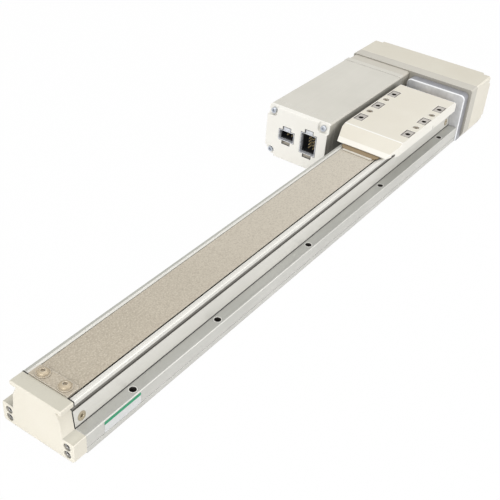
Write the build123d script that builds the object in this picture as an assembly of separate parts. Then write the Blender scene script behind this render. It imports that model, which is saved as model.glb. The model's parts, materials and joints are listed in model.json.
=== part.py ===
from build123d import *
from math import atan2, cos, degrees, hypot, pi, sin
import os

# Electric slide actuator with its motor folded back beside the body, in millimetres.
# +X runs along the stroke from the idle end to the motor end, +Z is up, the motor is on +Y.
# The origin is the centre of the rail's bottom mounting face.

# Rail and its mounting holes
rail_length = 484.0
rail_width = 55.0
ledge_height = 14.0
rail_floor = 4.6
rail_top_break = 0.5
rail_foot_chamfer = 0.4
side_groove_height = 4.2
side_groove_width = 0.6
side_groove_depth = 0.4
channel_half_width = 12.6
upstand_thickness = 3.0
upstand_height = 22.0
mount_hole_radius = 2.25
mount_hole_inset = 4.4
mount_hole_pitch = 110.0
first_hole_from_end = 43.0
first_hole_gap = 82.0
mount_hole_count = 5

# Raceway inserts and balls
screw_axis_height = 14.0
raceway_thickness = 2.0
raceway_height = 7.0
raceway_exposed = 1.0
ball_radius = 1.2
ball_clearance = 0.08
balls_per_side = 9
ball_row_margin = 2.0
return_hole_radius = 1.35
return_hole_inset = 2.0
return_hole_rise = 5.2

# Side covers with slanted flank, groove and overhanging top lip
cover_foot_half = 19.0
flank_top_half = 17.6
groove_floor_half = 16.9
groove_height = 5.6
lip_half = 19.4
lip_band = 2.2
lip_thickness = 3.2
body_height = 34.7
shelf_drop = 0.4
cover_edge_break = 0.5
cover_screw_from_end = 6.3
cover_screw_height = 18.8
cover_screw_head_radius = 3.2
cover_screw_shank_radius = 1.5
cover_screw_length = 4.6

# Dust strip and its clamps
strip_half = 14.85
strip_thickness = 0.4
clamp_thickness = 1.0
front_clamp_length = 10.0
rear_clamp_length = 6.0
clamp_corner_cut = 1.6
clamp_screw_half_spacing = 8.4
clamp_screw_shank_radius = 1.25
clamp_screw_length = 7.0
front_washer_radius = 4.5
front_washer_thickness = 0.5
front_button_radius = 3.6
front_button_height = 1.9
rear_washer_radius = 2.5
rear_washer_thickness = 0.3
rear_button_radius = 2.3
rear_button_height = 1.2

# Ends of the body
end_cap_thickness = 10.0
end_cap_groove_floor_half = 14.9
end_cap_edge_break = 0.35
end_cap_foot_chamfer = 1.5
end_plate_thickness = 10.0
end_plate_half_width = 28.6
end_plate_height = 45.0
end_plate_corner = 4.0
end_plate_edge_break = 0.6
end_screw_half_spacing = 22.3
end_screw_low = 4.2
end_screw_step = 5.7
end_screw_length = 14.0
end_screw_hole_depth = 12.0
end_screw_recess = 3.2

# Bearings and their blocks in the rail
bearing_block_length = 34.0
bearing_block_drop = 0.6
pedestal_length = 12.0
rear_pedestal_length = 8.0
block_fit = 0.1
block_flange = 4.0
front_bearing_radius = 6.5
front_bearing_width = 5.0
front_bearing_setback = 14.0
rear_bearing_radius = 8.0
rear_bearing_width = 7.0
rear_bearing_count = 2
bearing_shoulder = 4.0
bearing_cover_thickness = 4.0
bearing_cover_seat = 2.0
damper_radius = 9.0
bore_clearance = 1.0
running_clearance = 0.05
turning_gap = 0.3
shield_setback = 0.5

# Ball screw and nut
screw_radius = 5.0
front_journal_radius = 3.0
rear_journal_radius = 4.0
pulley_seat_radius = 3.0
journal_spare = 2.0
lock_nut_radius = 6.3
lock_nut_length = 6.0
lock_nut_slot = 2.0
nut_radius = 7.0
nut_flange_radius = 10.4
nut_flange_thickness = 4.0
nut_length = 34.0
nut_flat_margin = 0.4

# Stroke
stroke = 300.0
spare_travel_front = 10.0
spare_travel_rear = 2.0
stop_gap = 1.0
home_gap = 9.5

# Carriage and saddle under the table
guide_gap = 0.4
block_floor_gap = 1.0
block_length = 76.0
block_setback = 28.5
block_cap_thickness = 4.0
saddle_gap = 0.6
saddle_shift = 2.0
saddle_foot = 2.2
web_thickness = 0.4
web_clearance = 0.15
saddle_plate_thickness = 2.6
saddle_side_gap = 0.2

# Table
table_length = 127.0
table_thickness = 6.9
table_gap = 0.8
nose_length = 19.0
nose_break_drop = 6.4
nose_break_length = 2.6
nose_lip_drop = 7.8
nose_bottom_gap = 1.5
nose_edge = 0.5
nose_wall = 6.5
nose_corner_length = 14.5
nose_corner_width = 4.6
rear_bevel_length = 8.0
rear_bevel_drop = 4.0
rear_edge_drop = 5.4
rear_edge_length = 1.6
rear_corner = 4.0
rear_wall = 3.5
skirt_thickness = 1.4
skirt_gap = 0.4
pad_pitch = 30.0
pad_half_spacing = 22.0
pad_shift = 2.0
pad_length = 13.0
pad_width = 8.0
pad_edge_margin = 0.9
pad_depth = 0.4
tapped_radius = 2.1
tapped_depth = 6.4
pin_radius = 2.0
table_screw_head_radius = 2.5
table_screw_head_height = 1.6
table_screw_recess = 2.2
table_screw_shank_radius = 1.25
table_screw_length = 7.0
notch_width = 0.9
notch_height = 3.4
notch_from_centre = 10.3

# Scrapers and wiper lips that ride above the strip
scraper_half = 16.6
scraper_reach = 5.5
scraper_corner = 3.4
rear_scraper_length = 8.5
rear_scraper_corner = 1.0
scraper_gap = 0.4
wiper_length = 1.4
rear_wiper_length = 1.0
wiper_gap = 0.2
wiper_thickness = 1.0
wiper_inset = 1.0

# Bracket and pulley cover
bracket_thickness = 12.0
bracket_overhang = 3.5
bracket_margin = 1.0
bracket_head_room = 0.5
bracket_chamfer_height = 6.0
bracket_chamfer_width = 2.7
bracket_top_break = 1.2
bracket_screw_radius = 1.5
bracket_screw_head_radius = 2.75
bracket_screw_head_height = 2.6
bracket_screw_grip = 6.0
bracket_screw_y = 20.5
bracket_screw_heights = (18.0, 36.0)
pilot_radius = 11.0
pulley_cover_depth = 34.0
pulley_cover_wall = 2.5
pulley_cover_edge = 1.0
pulley_cover_post = 3.4
pulley_cover_screw_inset = 4.6
pulley_cover_notch = 8.4
pulley_cover_notch_radius = 3.0
pulley_cover_notch_depth = 4.0
pulley_cover_screw_shank = 1.25
pulley_cover_screw_head = 2.5
pulley_cover_screw_grip = 6.0

# Motor beside the body
motor_side_gap = 4.0
motor_lift = 1.5
motor_case_width = 59.0
motor_case_height = 46.0
motor_case_wall = 2.0
motor_case_foot_chamfer = 5.0
motor_case_top_break = 1.3
motor_flange_thickness = 13.5
motor_flange_inset = 0.6
motor_cover_length = 122.5
motor_ring_length = 6.5
motor_ring_seam = 0.3
motor_ring_wall = 2.6
motor_boss_radius = 3.2
motor_end_thickness = 5.5
motor_end_edge = 0.5
motor_notch_width = 9.6
motor_notch_height = 8.6
motor_notch_radius = 3.4
motor_notch_depth = 3.4
motor_screw_inset_y = 5.2
motor_screw_inset_z = 4.8
motor_screw_head = 2.5
motor_screw_head_height = 2.4
motor_screw_shank = 1.25
motor_screw_length = 8.0
stator_size = 42.0
stator_length = 80.0
stator_corner = 4.0
rotor_radius = 12.5
rotor_air_gap = 0.4
rotor_end_gap = 1.0
motor_bearing_width = 5.0
shaft_radius = 2.5
motor_bolt_half_spacing = 15.5
encoder_radius = 14.0
encoder_thickness = 1.2
encoder_gap = 2.0
board_thickness = 1.6
board_height = 34.0

# Belt drive
belt_tooth_pitch = 3.0
pulley_teeth = 18
belt_width = 9.0
belt_thickness = 1.4
belt_clearance = 0.15
belt_tooth_width = 1.3
belt_tooth_height = 0.7
pulley_tooth_depth = 0.9
pulley_gap_radius = 0.62
pulley_flange_rise = 1.7
pulley_flange_thickness = 1.0
pulley_standoff = 3.6
shaft_spare = 1.7

# Connector sockets in the motor end cover
power_socket_shift = -12.7
power_socket_width = 15.0
power_socket_height = 19.0
power_pin_rows = 5
signal_socket_shift = 8.8
signal_socket_width = 15.0
signal_socket_height = 9.6
signal_pin_rows = 2
socket_depth = 14.0
shell_thickness = 0.5
shell_proud = 0.3
insulator_setback = 3.0
insulator_wall = 0.9
socket_floor = 2.5
latch_width = 7.6
latch_height = 3.2
latch_setback = 0.9
latch_thickness = 0.5
pin_size = 0.8
pin_length = 6.0
pin_pitch_y = 4.2
pin_pitch_z = 3.0
pin_columns = 2

# Socket head screws of the body ends
cap_screw_head_radius = 2.3
cap_screw_head_height = 2.4
cap_screw_shank_radius = 1.25
screw_hole_clearance = 0.1
counterbore_clearance = 0.3

# Derived places across the body
rail_side = rail_width / 2
upstand_outer = channel_half_width + upstand_thickness
shelf_top = body_height - shelf_drop
lip_under = body_height - lip_thickness
flank_top_height = lip_under - groove_height
web_inner = strip_half + web_clearance
web_outer = web_inner + web_thickness
strip_under = body_height - strip_thickness
hole_line = rail_side - mount_hole_inset
side_groove_low = side_groove_height - side_groove_width / 2
side_groove_high = side_groove_height + side_groove_width / 2
raceway_inner = channel_half_width - raceway_exposed
block_half_width = raceway_inner - guide_gap
ball_line = (raceway_inner + block_half_width) / 2
block_bottom = rail_floor + block_floor_gap
block_top = upstand_height + saddle_gap
saddle_plate_under = body_height + table_gap
saddle_plate_top = saddle_plate_under + saddle_plate_thickness
table_top = saddle_plate_top + table_thickness
table_half_width = pad_half_spacing + pad_width / 2 + pad_edge_margin
skirt_inner = table_half_width - skirt_thickness
skirt_bottom = body_height + skirt_gap
nose_bottom = body_height + nose_bottom_gap
bearing_block_top = upstand_height - bearing_block_drop

# Derived places along the body
rail_half = rail_length / 2
cap_front = -rail_half - end_cap_thickness
plate_rear = rail_half + end_plate_thickness
bracket_rear = plate_rear + bracket_thickness
cover_rear = bracket_rear + pulley_cover_depth
table_rear = rail_half - home_gap
table_front = table_rear - table_length
table_flat_front = table_front + nose_length
table_flat_rear = table_rear - rear_bevel_length
table_centre = (table_flat_front + table_flat_rear) / 2 - pad_shift
block_rear = table_rear - block_setback
block_front = block_rear - block_length
saddle_front = block_front + saddle_shift
saddle_rear = block_rear + saddle_shift
nut_flange_front = block_rear + block_cap_thickness
nut_flange_rear = nut_flange_front + nut_flange_thickness
front_block_rear = -rail_half + bearing_block_length
front_bearing_rear = front_block_rear - front_bearing_setback
front_bearing_front = front_bearing_rear - front_bearing_width
travel_front = stroke + spare_travel_front
front_damper_rear = block_front - block_cap_thickness - travel_front - stop_gap
rear_damper_front = nut_flange_rear + spare_travel_rear + stop_gap
rear_bearing_front = rail_half - bearing_cover_seat - rear_bearing_count * rear_bearing_width
housing_front = rear_bearing_front - bearing_shoulder
screw_front = front_bearing_front - journal_spare
thread_front = front_bearing_rear + journal_spare
thread_rear = rear_bearing_front - journal_spare
bearing_cover_bore = lock_nut_radius + turning_gap

# Derived places of motor and belt drive
motor_axis_y = rail_side + motor_side_gap + motor_case_width / 2
motor_axis_z = motor_lift + motor_case_height / 2
bracket_left = motor_axis_y + motor_case_width / 2 + bracket_margin
bracket_right = rail_side + bracket_overhang
bracket_height = motor_lift + motor_case_height + bracket_head_room
flange_front = plate_rear - motor_flange_thickness
motor_cover_front = flange_front - motor_cover_length
motor_ring_front = motor_cover_front - motor_ring_length
motor_front = motor_ring_front - motor_end_thickness
stator_front = flange_front - stator_length
board_front = motor_front + socket_depth
board_rear = board_front + board_thickness
encoder_front = board_rear + encoder_gap
pulley_radius = belt_tooth_pitch * pulley_teeth / (2 * pi) - pulley_tooth_depth / 2
pulley_front = bracket_rear + pulley_standoff
pulley_tooth_front = pulley_front + pulley_flange_thickness
pulley_tooth_rear = pulley_tooth_front + belt_width + 2 * belt_clearance
pulley_rear = pulley_tooth_rear + pulley_flange_thickness
belt_front = pulley_tooth_front + belt_clearance
shaft_end = pulley_rear + shaft_spare
power_socket = (motor_axis_y + power_socket_shift, motor_axis_z, power_socket_width, power_socket_height)
signal_socket = (motor_axis_y + signal_socket_shift, motor_axis_z, signal_socket_width, signal_socket_height)


def prism_x(points, start, end):
    """A solid with its outline given as (y, z) points, from x = start to x = end."""
    face = make_face(Polyline(*points, close=True))
    return extrude(Plane.YZ.offset(start) * face, end - start)


def prism_y(points, start, end):
    """A solid with its outline given as (x, z) points, from y = start to y = end."""
    face = make_face(Polyline(*points, close=True))
    return extrude(Plane.XZ.offset(-end) * face, end - start)


def prism_z(points, start, end):
    """A solid with its outline given as (x, y) points, from z = start to z = end."""
    face = make_face(Polyline(*points, close=True))
    return extrude(Plane.XY.offset(start) * face, end - start)


def block(x, y, z):
    """A box from three (low, high) pairs."""
    size = Box(x[1] - x[0], y[1] - y[0], z[1] - z[0], align=(Align.MIN, Align.MIN, Align.MIN))
    return Pos(x[0], y[0], z[0]) * size


def rod_x(radius, start, end, y=0.0, z=screw_axis_height):
    """A cylinder along X, on the screw axis unless told otherwise."""
    return extrude(Plane.YZ.offset(start) * Pos(y, z) * Circle(radius), end - start)


def ring_x(outer, inner, start, end, y=0.0, z=screw_axis_height):
    """A hollow cylinder along X."""
    return rod_x(outer, start, end, y, z) - rod_x(inner, start, end, y, z)


def rod_z(radius, start, end, x, y):
    """A cylinder along Z."""
    return extrude(Plane.XY.offset(start) * Pos(x, y) * Circle(radius), end - start)


def slab_x(width, height, radius, start, end, y, z):
    """A plate across X with rounded corners, centred on (y, z)."""
    face = RectangleRounded(width, height, radius)
    return extrude(Plane.YZ.offset(start) * Pos(y, z) * face, end - start)


def span(centre, size):
    """The (low, high) pair of a length centred on a value."""
    return (centre - size / 2, centre + size / 2)


def side_span(side, near, far):
    """The (low, high) pair between two distances on one side of the middle plane."""
    return tuple(sorted((side * near, side * far)))


def both_sides(solid):
    """The solid and its mirror image across the middle plane, as two solids."""
    return [solid, mirror(solid, about=Plane.XZ)]


def group(solids):
    """Separate solids as one compound."""
    return Compound(children=list(solids))


def placed(solid, position, direction):
    """A solid made with its seat at the origin and its shank along -Z, turned to a face."""
    return Plane(origin=position, z_dir=direction) * solid


def cap_screw(head_radius, head_height, shank_radius, shank_length):
    """Socket head screw: seat at z = 0, head above, shank below."""
    head = extrude(Circle(head_radius), head_height)
    head = chamfer(head.edges().sort_by(Axis.Z)[-1:], head_height / 8)
    shank = extrude(Circle(shank_radius), -shank_length)
    key = Pos(0, 0, head_height) * extrude(RegularPolygon(head_radius / 2, 6), -head_height / 2)
    return head + shank - key


def button_screw(head_radius, head_height, washer_radius, washer_thickness):
    """Round-headed strip clamp screw on a washer: washer seat at z = 0."""
    washer = extrude(Circle(washer_radius), washer_thickness)
    head = extrude(Circle(head_radius), washer_thickness + head_height)
    head = fillet(head.edges().sort_by(Axis.Z)[-1:], head_height * 3 / 4)
    shank = extrude(Circle(clamp_screw_shank_radius), -clamp_screw_length)
    top = washer_thickness + head_height
    key = Pos(0, 0, top) * extrude(RegularPolygon(head_radius / 2.5, 6), -head_height / 2)
    return washer + head + shank - key


def countersunk_screw(head_radius, shank_radius, shank_length):
    """Flat head screw: top of the head at z = 0."""
    cone_height = head_radius - shank_radius
    head = Pos(0, 0, -cone_height / 2) * Cone(shank_radius, head_radius, cone_height)
    shank = Pos(0, 0, -cone_height) * extrude(Circle(shank_radius), cone_height - shank_length)
    key = extrude(RegularPolygon(head_radius / 2, 6), -cone_height * 2 / 3)
    return head + shank - key


def countersunk_hole(head_radius, shank_radius, depth):
    """Hole for a flat head screw, with room above its head."""
    cone_height = head_radius - shank_radius
    cone = Pos(0, 0, -cone_height / 2) * Cone(shank_radius, head_radius, cone_height)
    above = extrude(Circle(head_radius), cone_height)
    return cone + above + extrude(Circle(shank_radius), -depth)


def mount_hole_places():
    """Centres of the rail's mounting holes along X."""
    first = -rail_half + first_hole_from_end
    rest = [first + first_hole_gap + mount_hole_pitch * step for step in range(mount_hole_count - 1)]
    return [first] + rest


def end_screw_places():
    """(y, z) of the screws that hold the parts at the rail's ends."""
    heights = (end_screw_low, end_screw_low + end_screw_step)
    return [(side * end_screw_half_spacing, height) for side in (-1, 1) for height in heights]


def flank_half_at(height):
    """Half width of the slanted flank at a height."""
    share = (height - ledge_height) / (flank_top_height - ledge_height)
    return cover_foot_half + (flank_top_half - cover_foot_half) * share


def cover_screw_poses():
    """Position and outward direction of each countersunk screw in the flanks, with its side."""
    lean = atan2(cover_foot_half - flank_top_half, flank_top_height - ledge_height)
    reach = rail_half - cover_screw_from_end
    half = flank_half_at(cover_screw_height)
    return [
        (side, (place, side * half, cover_screw_height), (0, side * cos(lean), sin(lean)))
        for place in (-reach, reach)
        for side in (-1, 1)
    ]


def rail():
    """Extruded rail: floor, grooved ledges and upstands with pockets for the raceways."""
    half = [
        (0, 0),
        (rail_side - rail_foot_chamfer, 0),
        (rail_side, rail_foot_chamfer),
        (rail_side, side_groove_low),
        (rail_side - side_groove_depth, side_groove_low),
        (rail_side - side_groove_depth, side_groove_high),
        (rail_side, side_groove_high),
        (rail_side, ledge_height - rail_top_break),
        (rail_side - rail_top_break, ledge_height),
        (upstand_outer, ledge_height),
        (upstand_outer, upstand_height),
        (channel_half_width, upstand_height),
        (channel_half_width, rail_floor),
        (0, rail_floor),
    ]
    body = prism_x(half, -rail_half, rail_half)
    body += mirror(body, about=Plane.XZ)
    pocket = block(
        (-rail_half, rail_half),
        (channel_half_width, raceway_inner + raceway_thickness),
        span(screw_axis_height, raceway_height),
    )
    body -= both_sides(pocket)
    for place in mount_hole_places():
        for side in (-1, 1):
            body -= rod_z(mount_hole_radius, 0, ledge_height, place, side * hole_line)
    tapped = cap_screw_shank_radius + screw_hole_clearance
    for y, z in end_screw_places():
        body -= rod_x(tapped, -rail_half, -rail_half + end_screw_hole_depth, y, z)
        body -= rod_x(tapped, rail_half - end_screw_hole_depth, rail_half, y, z)
    for side, position, direction in cover_screw_poses():
        hole = extrude(Circle(cover_screw_shank_radius), -cover_screw_length)
        body -= placed(hole, position, direction)
    return body


def raceway():
    """Hardened insert on the +Y side, with one ball groove."""
    insert = block(
        (-rail_half, rail_half),
        (raceway_inner, raceway_inner + raceway_thickness),
        span(screw_axis_height, raceway_height),
    )
    return insert - rod_x(ball_radius + ball_clearance, -rail_half, rail_half, ball_line)


def side_cover():
    """Extruded +Y side cover with countersunk holes for its two screws."""
    outline = [
        (upstand_outer, ledge_height),
        (cover_foot_half - cover_edge_break, ledge_height),
        (cover_foot_half, ledge_height + cover_edge_break),
        (flank_top_half, flank_top_height),
        (groove_floor_half, flank_top_height),
        (groove_floor_half, lip_under),
        (lip_half, lip_under),
        (lip_half, body_height - cover_edge_break),
        (lip_half - cover_edge_break, body_height),
        (lip_half - lip_band, body_height),
        (lip_half - lip_band, shelf_top),
        (upstand_outer, shelf_top),
    ]
    body = prism_x(outline, -rail_half, rail_half)
    head = cover_screw_head_radius
    shank = cover_screw_shank_radius
    for side, position, direction in cover_screw_poses():
        if side > 0:
            body -= placed(countersunk_hole(head, shank, cover_screw_length), position, direction)
    return body


def side_cover_screws():
    """Flat head screws that hold the side covers on the rail's upstands."""
    screw = countersunk_screw(cover_screw_head_radius, cover_screw_shank_radius, cover_screw_length)
    return group(placed(screw, position, direction) for side, position, direction in cover_screw_poses())


def front_end_cap():
    """Cast end cap with the body's outline and two counterbored holes at each lower corner."""
    half = [
        (0, 0),
        (rail_side - end_cap_foot_chamfer, 0),
        (rail_side, end_cap_foot_chamfer),
        (rail_side, ledge_height - rail_top_break),
        (rail_side - rail_top_break, ledge_height),
        (cover_foot_half, ledge_height),
        (flank_top_half, flank_top_height),
        (end_cap_groove_floor_half, lip_under),
        (lip_half, lip_under),
        (lip_half, body_height - cover_edge_break),
        (lip_half - cover_edge_break, body_height),
        (0, body_height),
    ]
    cap = prism_x(half, cap_front, -rail_half)
    cap += mirror(cap, about=Plane.XZ)
    cap = chamfer(cap.faces().sort_by(Axis.X)[0].edges(), end_cap_edge_break)
    bore = cap_screw_head_radius + counterbore_clearance
    for y, z in end_screw_places():
        cap -= rod_x(bore, cap_front, cap_front + end_screw_recess, y, z)
        cap -= rod_x(cap_screw_shank_radius + screw_hole_clearance, cap_front, -rail_half, y, z)
    return cap


def front_end_cap_screws():
    """Socket head screws through the end cap into the rail."""
    length = end_cap_thickness - end_screw_recess + end_screw_hole_depth - journal_spare
    screw = cap_screw(cap_screw_head_radius, cap_screw_head_height, cap_screw_shank_radius, length)
    seat = cap_front + end_screw_recess
    return group(placed(screw, (seat, y, z), (-1, 0, 0)) for y, z in end_screw_places())


def channel_block(start, end, tower_start, tower_end):
    """Block that fills the rail's channel round the raceways and rises to the dust strip."""
    wall = channel_half_width - block_fit
    waist = raceway_inner - block_fit
    low, high = span(screw_axis_height, raceway_height)
    body = block((start, end), (-waist, waist), (rail_floor, bearing_block_top))
    body += block((start, end), (-wall, wall), (rail_floor, low - block_fit))
    body += block((start, end), (-wall, wall), (high + block_fit, bearing_block_top))
    tower = (tower_start, tower_end)
    body += block(tower, (-wall, wall), (bearing_block_top, upstand_height))
    body += block(tower, (-strip_half, strip_half), (upstand_height, strip_under))
    return body


def clamp_screw_x(front):
    """Place of the strip clamp screws along X."""
    if front:
        return -rail_half + front_clamp_length / 2
    return rail_half - rear_clamp_length / 2


def clamp_screw_places():
    """(x, y) of all strip clamp screws with True for the front pair."""
    return [
        (front, clamp_screw_x(front), side * clamp_screw_half_spacing)
        for front in (True, False)
        for side in (-1, 1)
    ]


def tap_clamp_holes(body, front):
    """The block with the tapped holes for its pair of clamp screws."""
    for pair, x, y in clamp_screw_places():
        if pair == front:
            body -= rod_z(clamp_screw_shank_radius, strip_under - clamp_screw_length, strip_under, x, y)
    return body


def front_bearing_block():
    """Block in the rail that carries the floating bearing and the strip's front end."""
    body = channel_block(-rail_half, front_block_rear, -rail_half, -rail_half + pedestal_length)
    body -= rod_x(screw_radius + bore_clearance, -rail_half, front_block_rear)
    body -= rod_x(front_bearing_radius, front_bearing_front, front_block_rear)
    return tap_clamp_holes(body, True)


def ball_bearing(start, width, outer, shaft):
    """Shielded ball bearing on the screw axis."""
    end = start + width
    inner = shaft + running_clearance
    wall = (outer - inner) / 3
    outer_ring = ring_x(outer, outer - wall, start, end)
    inner_ring = ring_x(inner + wall, inner, start, end)
    shields = ring_x(outer - wall, inner + wall, start + shield_setback, end - shield_setback)
    return outer_ring + shields + inner_ring


def front_bearing():
    """Floating bearing at the idle end of the screw."""
    return ball_bearing(front_bearing_front, front_bearing_width, front_bearing_radius, front_journal_radius)


def fixed_bearings():
    """Angular contact bearings side by side at the motor end of the screw."""
    starts = [rear_bearing_front + index * rear_bearing_width for index in range(rear_bearing_count)]
    return group(
        ball_bearing(start, rear_bearing_width, rear_bearing_radius, rear_journal_radius) for start in starts
    )


def damper(start, end):
    """Rubber ring round the screw that stops the carriage."""
    return ring_x(damper_radius, screw_radius + bore_clearance, start, end)


def fixed_bearing_housing():
    """Housing in the rail's motor end for the fixed bearings, with a tower under the strip."""
    body = channel_block(housing_front, rail_half, rail_half - rear_pedestal_length, rail_half)
    body -= rod_x(screw_radius + bore_clearance, housing_front, rail_half)
    body -= rod_x(rear_bearing_radius, rear_bearing_front, rail_half)
    return tap_clamp_holes(body, False)


def bearing_cover():
    """Ring that holds the fixed bearings in their housing and centres the end plate."""
    start = rail_half - bearing_cover_seat
    return ring_x(rear_bearing_radius, bearing_cover_bore, start, start + bearing_cover_thickness)


def ball_screw():
    """Screw shaft: front journal, threaded length, bearing seat and pulley seat."""
    seat_end = rail_half + turning_gap + lock_nut_length
    shaft = rod_x(front_journal_radius, screw_front, thread_front)
    shaft += rod_x(screw_radius, thread_front, thread_rear)
    shaft += rod_x(rear_journal_radius, thread_rear, seat_end)
    shaft += rod_x(pulley_seat_radius, seat_end, shaft_end)
    return shaft


def bearing_nut():
    """Round lock nut behind the fixed bearings, with a spanner slot across its face."""
    start = rail_half + turning_gap
    end = start + lock_nut_length
    slot = block(
        (end - lock_nut_slot, end),
        (-lock_nut_radius, lock_nut_radius),
        span(screw_axis_height, lock_nut_slot),
    )
    return ring_x(lock_nut_radius, rear_journal_radius, start, end) - slot


def rear_end_plate():
    """Machined plate between the body and the motor bracket, with rounded upper corners."""
    upper = slab_x(2 * end_plate_half_width, end_plate_height, end_plate_corner, rail_half, plate_rear,
                   0, end_plate_height / 2)
    lower = block((rail_half, plate_rear), (-end_plate_half_width, end_plate_half_width),
                  (0, end_plate_height / 2))
    plate = upper + lower
    plate = chamfer(plate.faces().sort_by(Axis.X)[0].edges(), end_plate_edge_break)
    plate -= rod_x(rear_bearing_radius, rail_half, plate_rear)
    for y, z in end_screw_places():
        plate -= rod_x(cap_screw_shank_radius + screw_hole_clearance, rail_half, plate_rear, y, z)
        bore = cap_screw_head_radius + counterbore_clearance
        plate -= rod_x(bore, plate_rear - end_screw_recess, plate_rear, y, z)
    for y, z in bracket_screw_places():
        plate -= rod_x(bracket_screw_radius, plate_rear - bracket_screw_grip, plate_rear, y, z)
    return plate


def end_plate_screws():
    """Socket head screws through the end plate into the rail."""
    length = end_plate_thickness - end_screw_recess + end_screw_hole_depth - journal_spare
    screw = cap_screw(cap_screw_head_radius, cap_screw_head_height, cap_screw_shank_radius, length)
    seat = plate_rear - end_screw_recess
    return group(placed(screw, (seat, y, z), (1, 0, 0)) for y, z in end_screw_places())


def dust_strip():
    """Flat metal strip over the slot between the side covers."""
    strip = block((-rail_half, rail_half), (-strip_half, strip_half), (strip_under, body_height))
    for front, x, y in clamp_screw_places():
        strip -= rod_z(clamp_screw_shank_radius, strip_under, body_height, x, y)
    return strip


def strip_clamp(front):
    """Plate that presses the strip's end onto the block below, its inner corners cut off."""
    outer = -rail_half if front else rail_half
    length = front_clamp_length if front else rear_clamp_length
    way = 1 if front else -1
    inner = outer + way * length
    plan = [
        (outer, -strip_half),
        (inner - way * clamp_corner_cut, -strip_half),
        (inner, -strip_half + clamp_corner_cut),
        (inner, strip_half - clamp_corner_cut),
        (inner - way * clamp_corner_cut, strip_half),
        (outer, strip_half),
    ]
    plate = prism_z(plan, body_height, body_height + clamp_thickness)
    for pair, x, y in clamp_screw_places():
        if pair == front:
            plate -= rod_z(clamp_screw_shank_radius, body_height, body_height + clamp_thickness, x, y)
    return plate


def strip_clamp_screws():
    """Round-headed screws on washers at the front and low ones at the rear."""
    front_screw = button_screw(
        front_button_radius, front_button_height, front_washer_radius, front_washer_thickness
    )
    rear_screw = button_screw(
        rear_button_radius, rear_button_height, rear_washer_radius, rear_washer_thickness
    )
    top = body_height + clamp_thickness
    return group(
        placed(front_screw if front else rear_screw, (x, y, top), (0, 0, 1))
        for front, x, y in clamp_screw_places()
    )


def return_holes(start, end):
    """Ball return passages above and below the loaded rows."""
    y = block_half_width - return_hole_inset
    heights = (screw_axis_height - return_hole_rise, screw_axis_height + return_hole_rise)
    return [rod_x(return_hole_radius, start, end, side * y, z) for side in (-1, 1) for z in heights]


def carriage_block():
    """Steel block between the raceways, bored for the nut and for the ball returns."""
    body = block((block_front, block_rear), (-block_half_width, block_half_width), (block_bottom, block_top))
    nut_front = block_rear - nut_length
    body -= rod_x(nut_radius, nut_front, block_rear)
    body -= rod_x(screw_radius + bore_clearance, block_front, nut_front)
    for side in (-1, 1):
        body -= rod_x(ball_radius + ball_clearance, block_front, block_rear, side * ball_line)
    return body - return_holes(block_front, block_rear)


def carriage_end_caps():
    """Plastic caps that turn the balls round at both ends of the block."""
    front = block((block_front - block_cap_thickness, block_front), (-block_half_width, block_half_width),
                  (block_bottom, block_top))
    front -= rod_x(screw_radius + bore_clearance, block_front - block_cap_thickness, block_front)
    rear = block((block_rear, nut_flange_front), (-block_half_width, block_half_width),
                 (block_bottom, block_top))
    rear -= rod_x(nut_radius, block_rear, nut_flange_front)
    return group([front, rear])


def carriage_balls():
    """Loaded balls in the grooves between block and raceways."""
    step = (block_length - 2 * ball_row_margin) / (balls_per_side - 1)
    first = block_front + ball_row_margin
    return group(
        Pos(first + step * index, side * ball_line, screw_axis_height) * Sphere(ball_radius)
        for side in (-1, 1)
        for index in range(balls_per_side)
    )


def ball_nut():
    """Flanged nut in the carriage block, with flats above and below on its flange."""
    nut_front = block_rear - nut_length
    nut = rod_x(nut_radius, nut_front, nut_flange_front)
    flange = rod_x(nut_flange_radius, nut_flange_front, nut_flange_rear)
    flats = (block_bottom + nut_flat_margin, block_top - nut_flat_margin)
    flange &= block((nut_flange_front, nut_flange_rear), (-nut_flange_radius, nut_flange_radius), flats)
    return nut + flange - rod_x(screw_radius + running_clearance, nut_front, nut_flange_rear)


def pad_places():
    """(x, y) of the six bare pads on the table."""
    steps = (-pad_pitch, 0.0, pad_pitch)
    return [(table_centre + step, side * pad_half_spacing) for step in steps for side in (-1, 1)]


def table_screw_places():
    """(x, y) of the small screws between the pads."""
    steps = (-pad_pitch / 2, pad_pitch / 2)
    return [(table_centre + step, side * pad_half_spacing) for step in steps for side in (-1, 1)]


def saddle():
    """Bracket on the block: two thin webs pass beside the strip and carry a plate above it."""
    length = (saddle_front, saddle_rear)
    half = skirt_inner - saddle_side_gap
    body = block(length, (-web_outer, web_outer), (block_top, block_top + saddle_foot))
    for side in (-1, 1):
        body += block(length, side_span(side, web_inner, web_outer), (block_top, saddle_plate_top))
    body += block(length, (-half, half), (saddle_plate_under, saddle_plate_top))
    for x, y in table_screw_places():
        body -= rod_z(table_screw_shank_radius, saddle_plate_under, saddle_plate_top, x, y)
    return body


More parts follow.
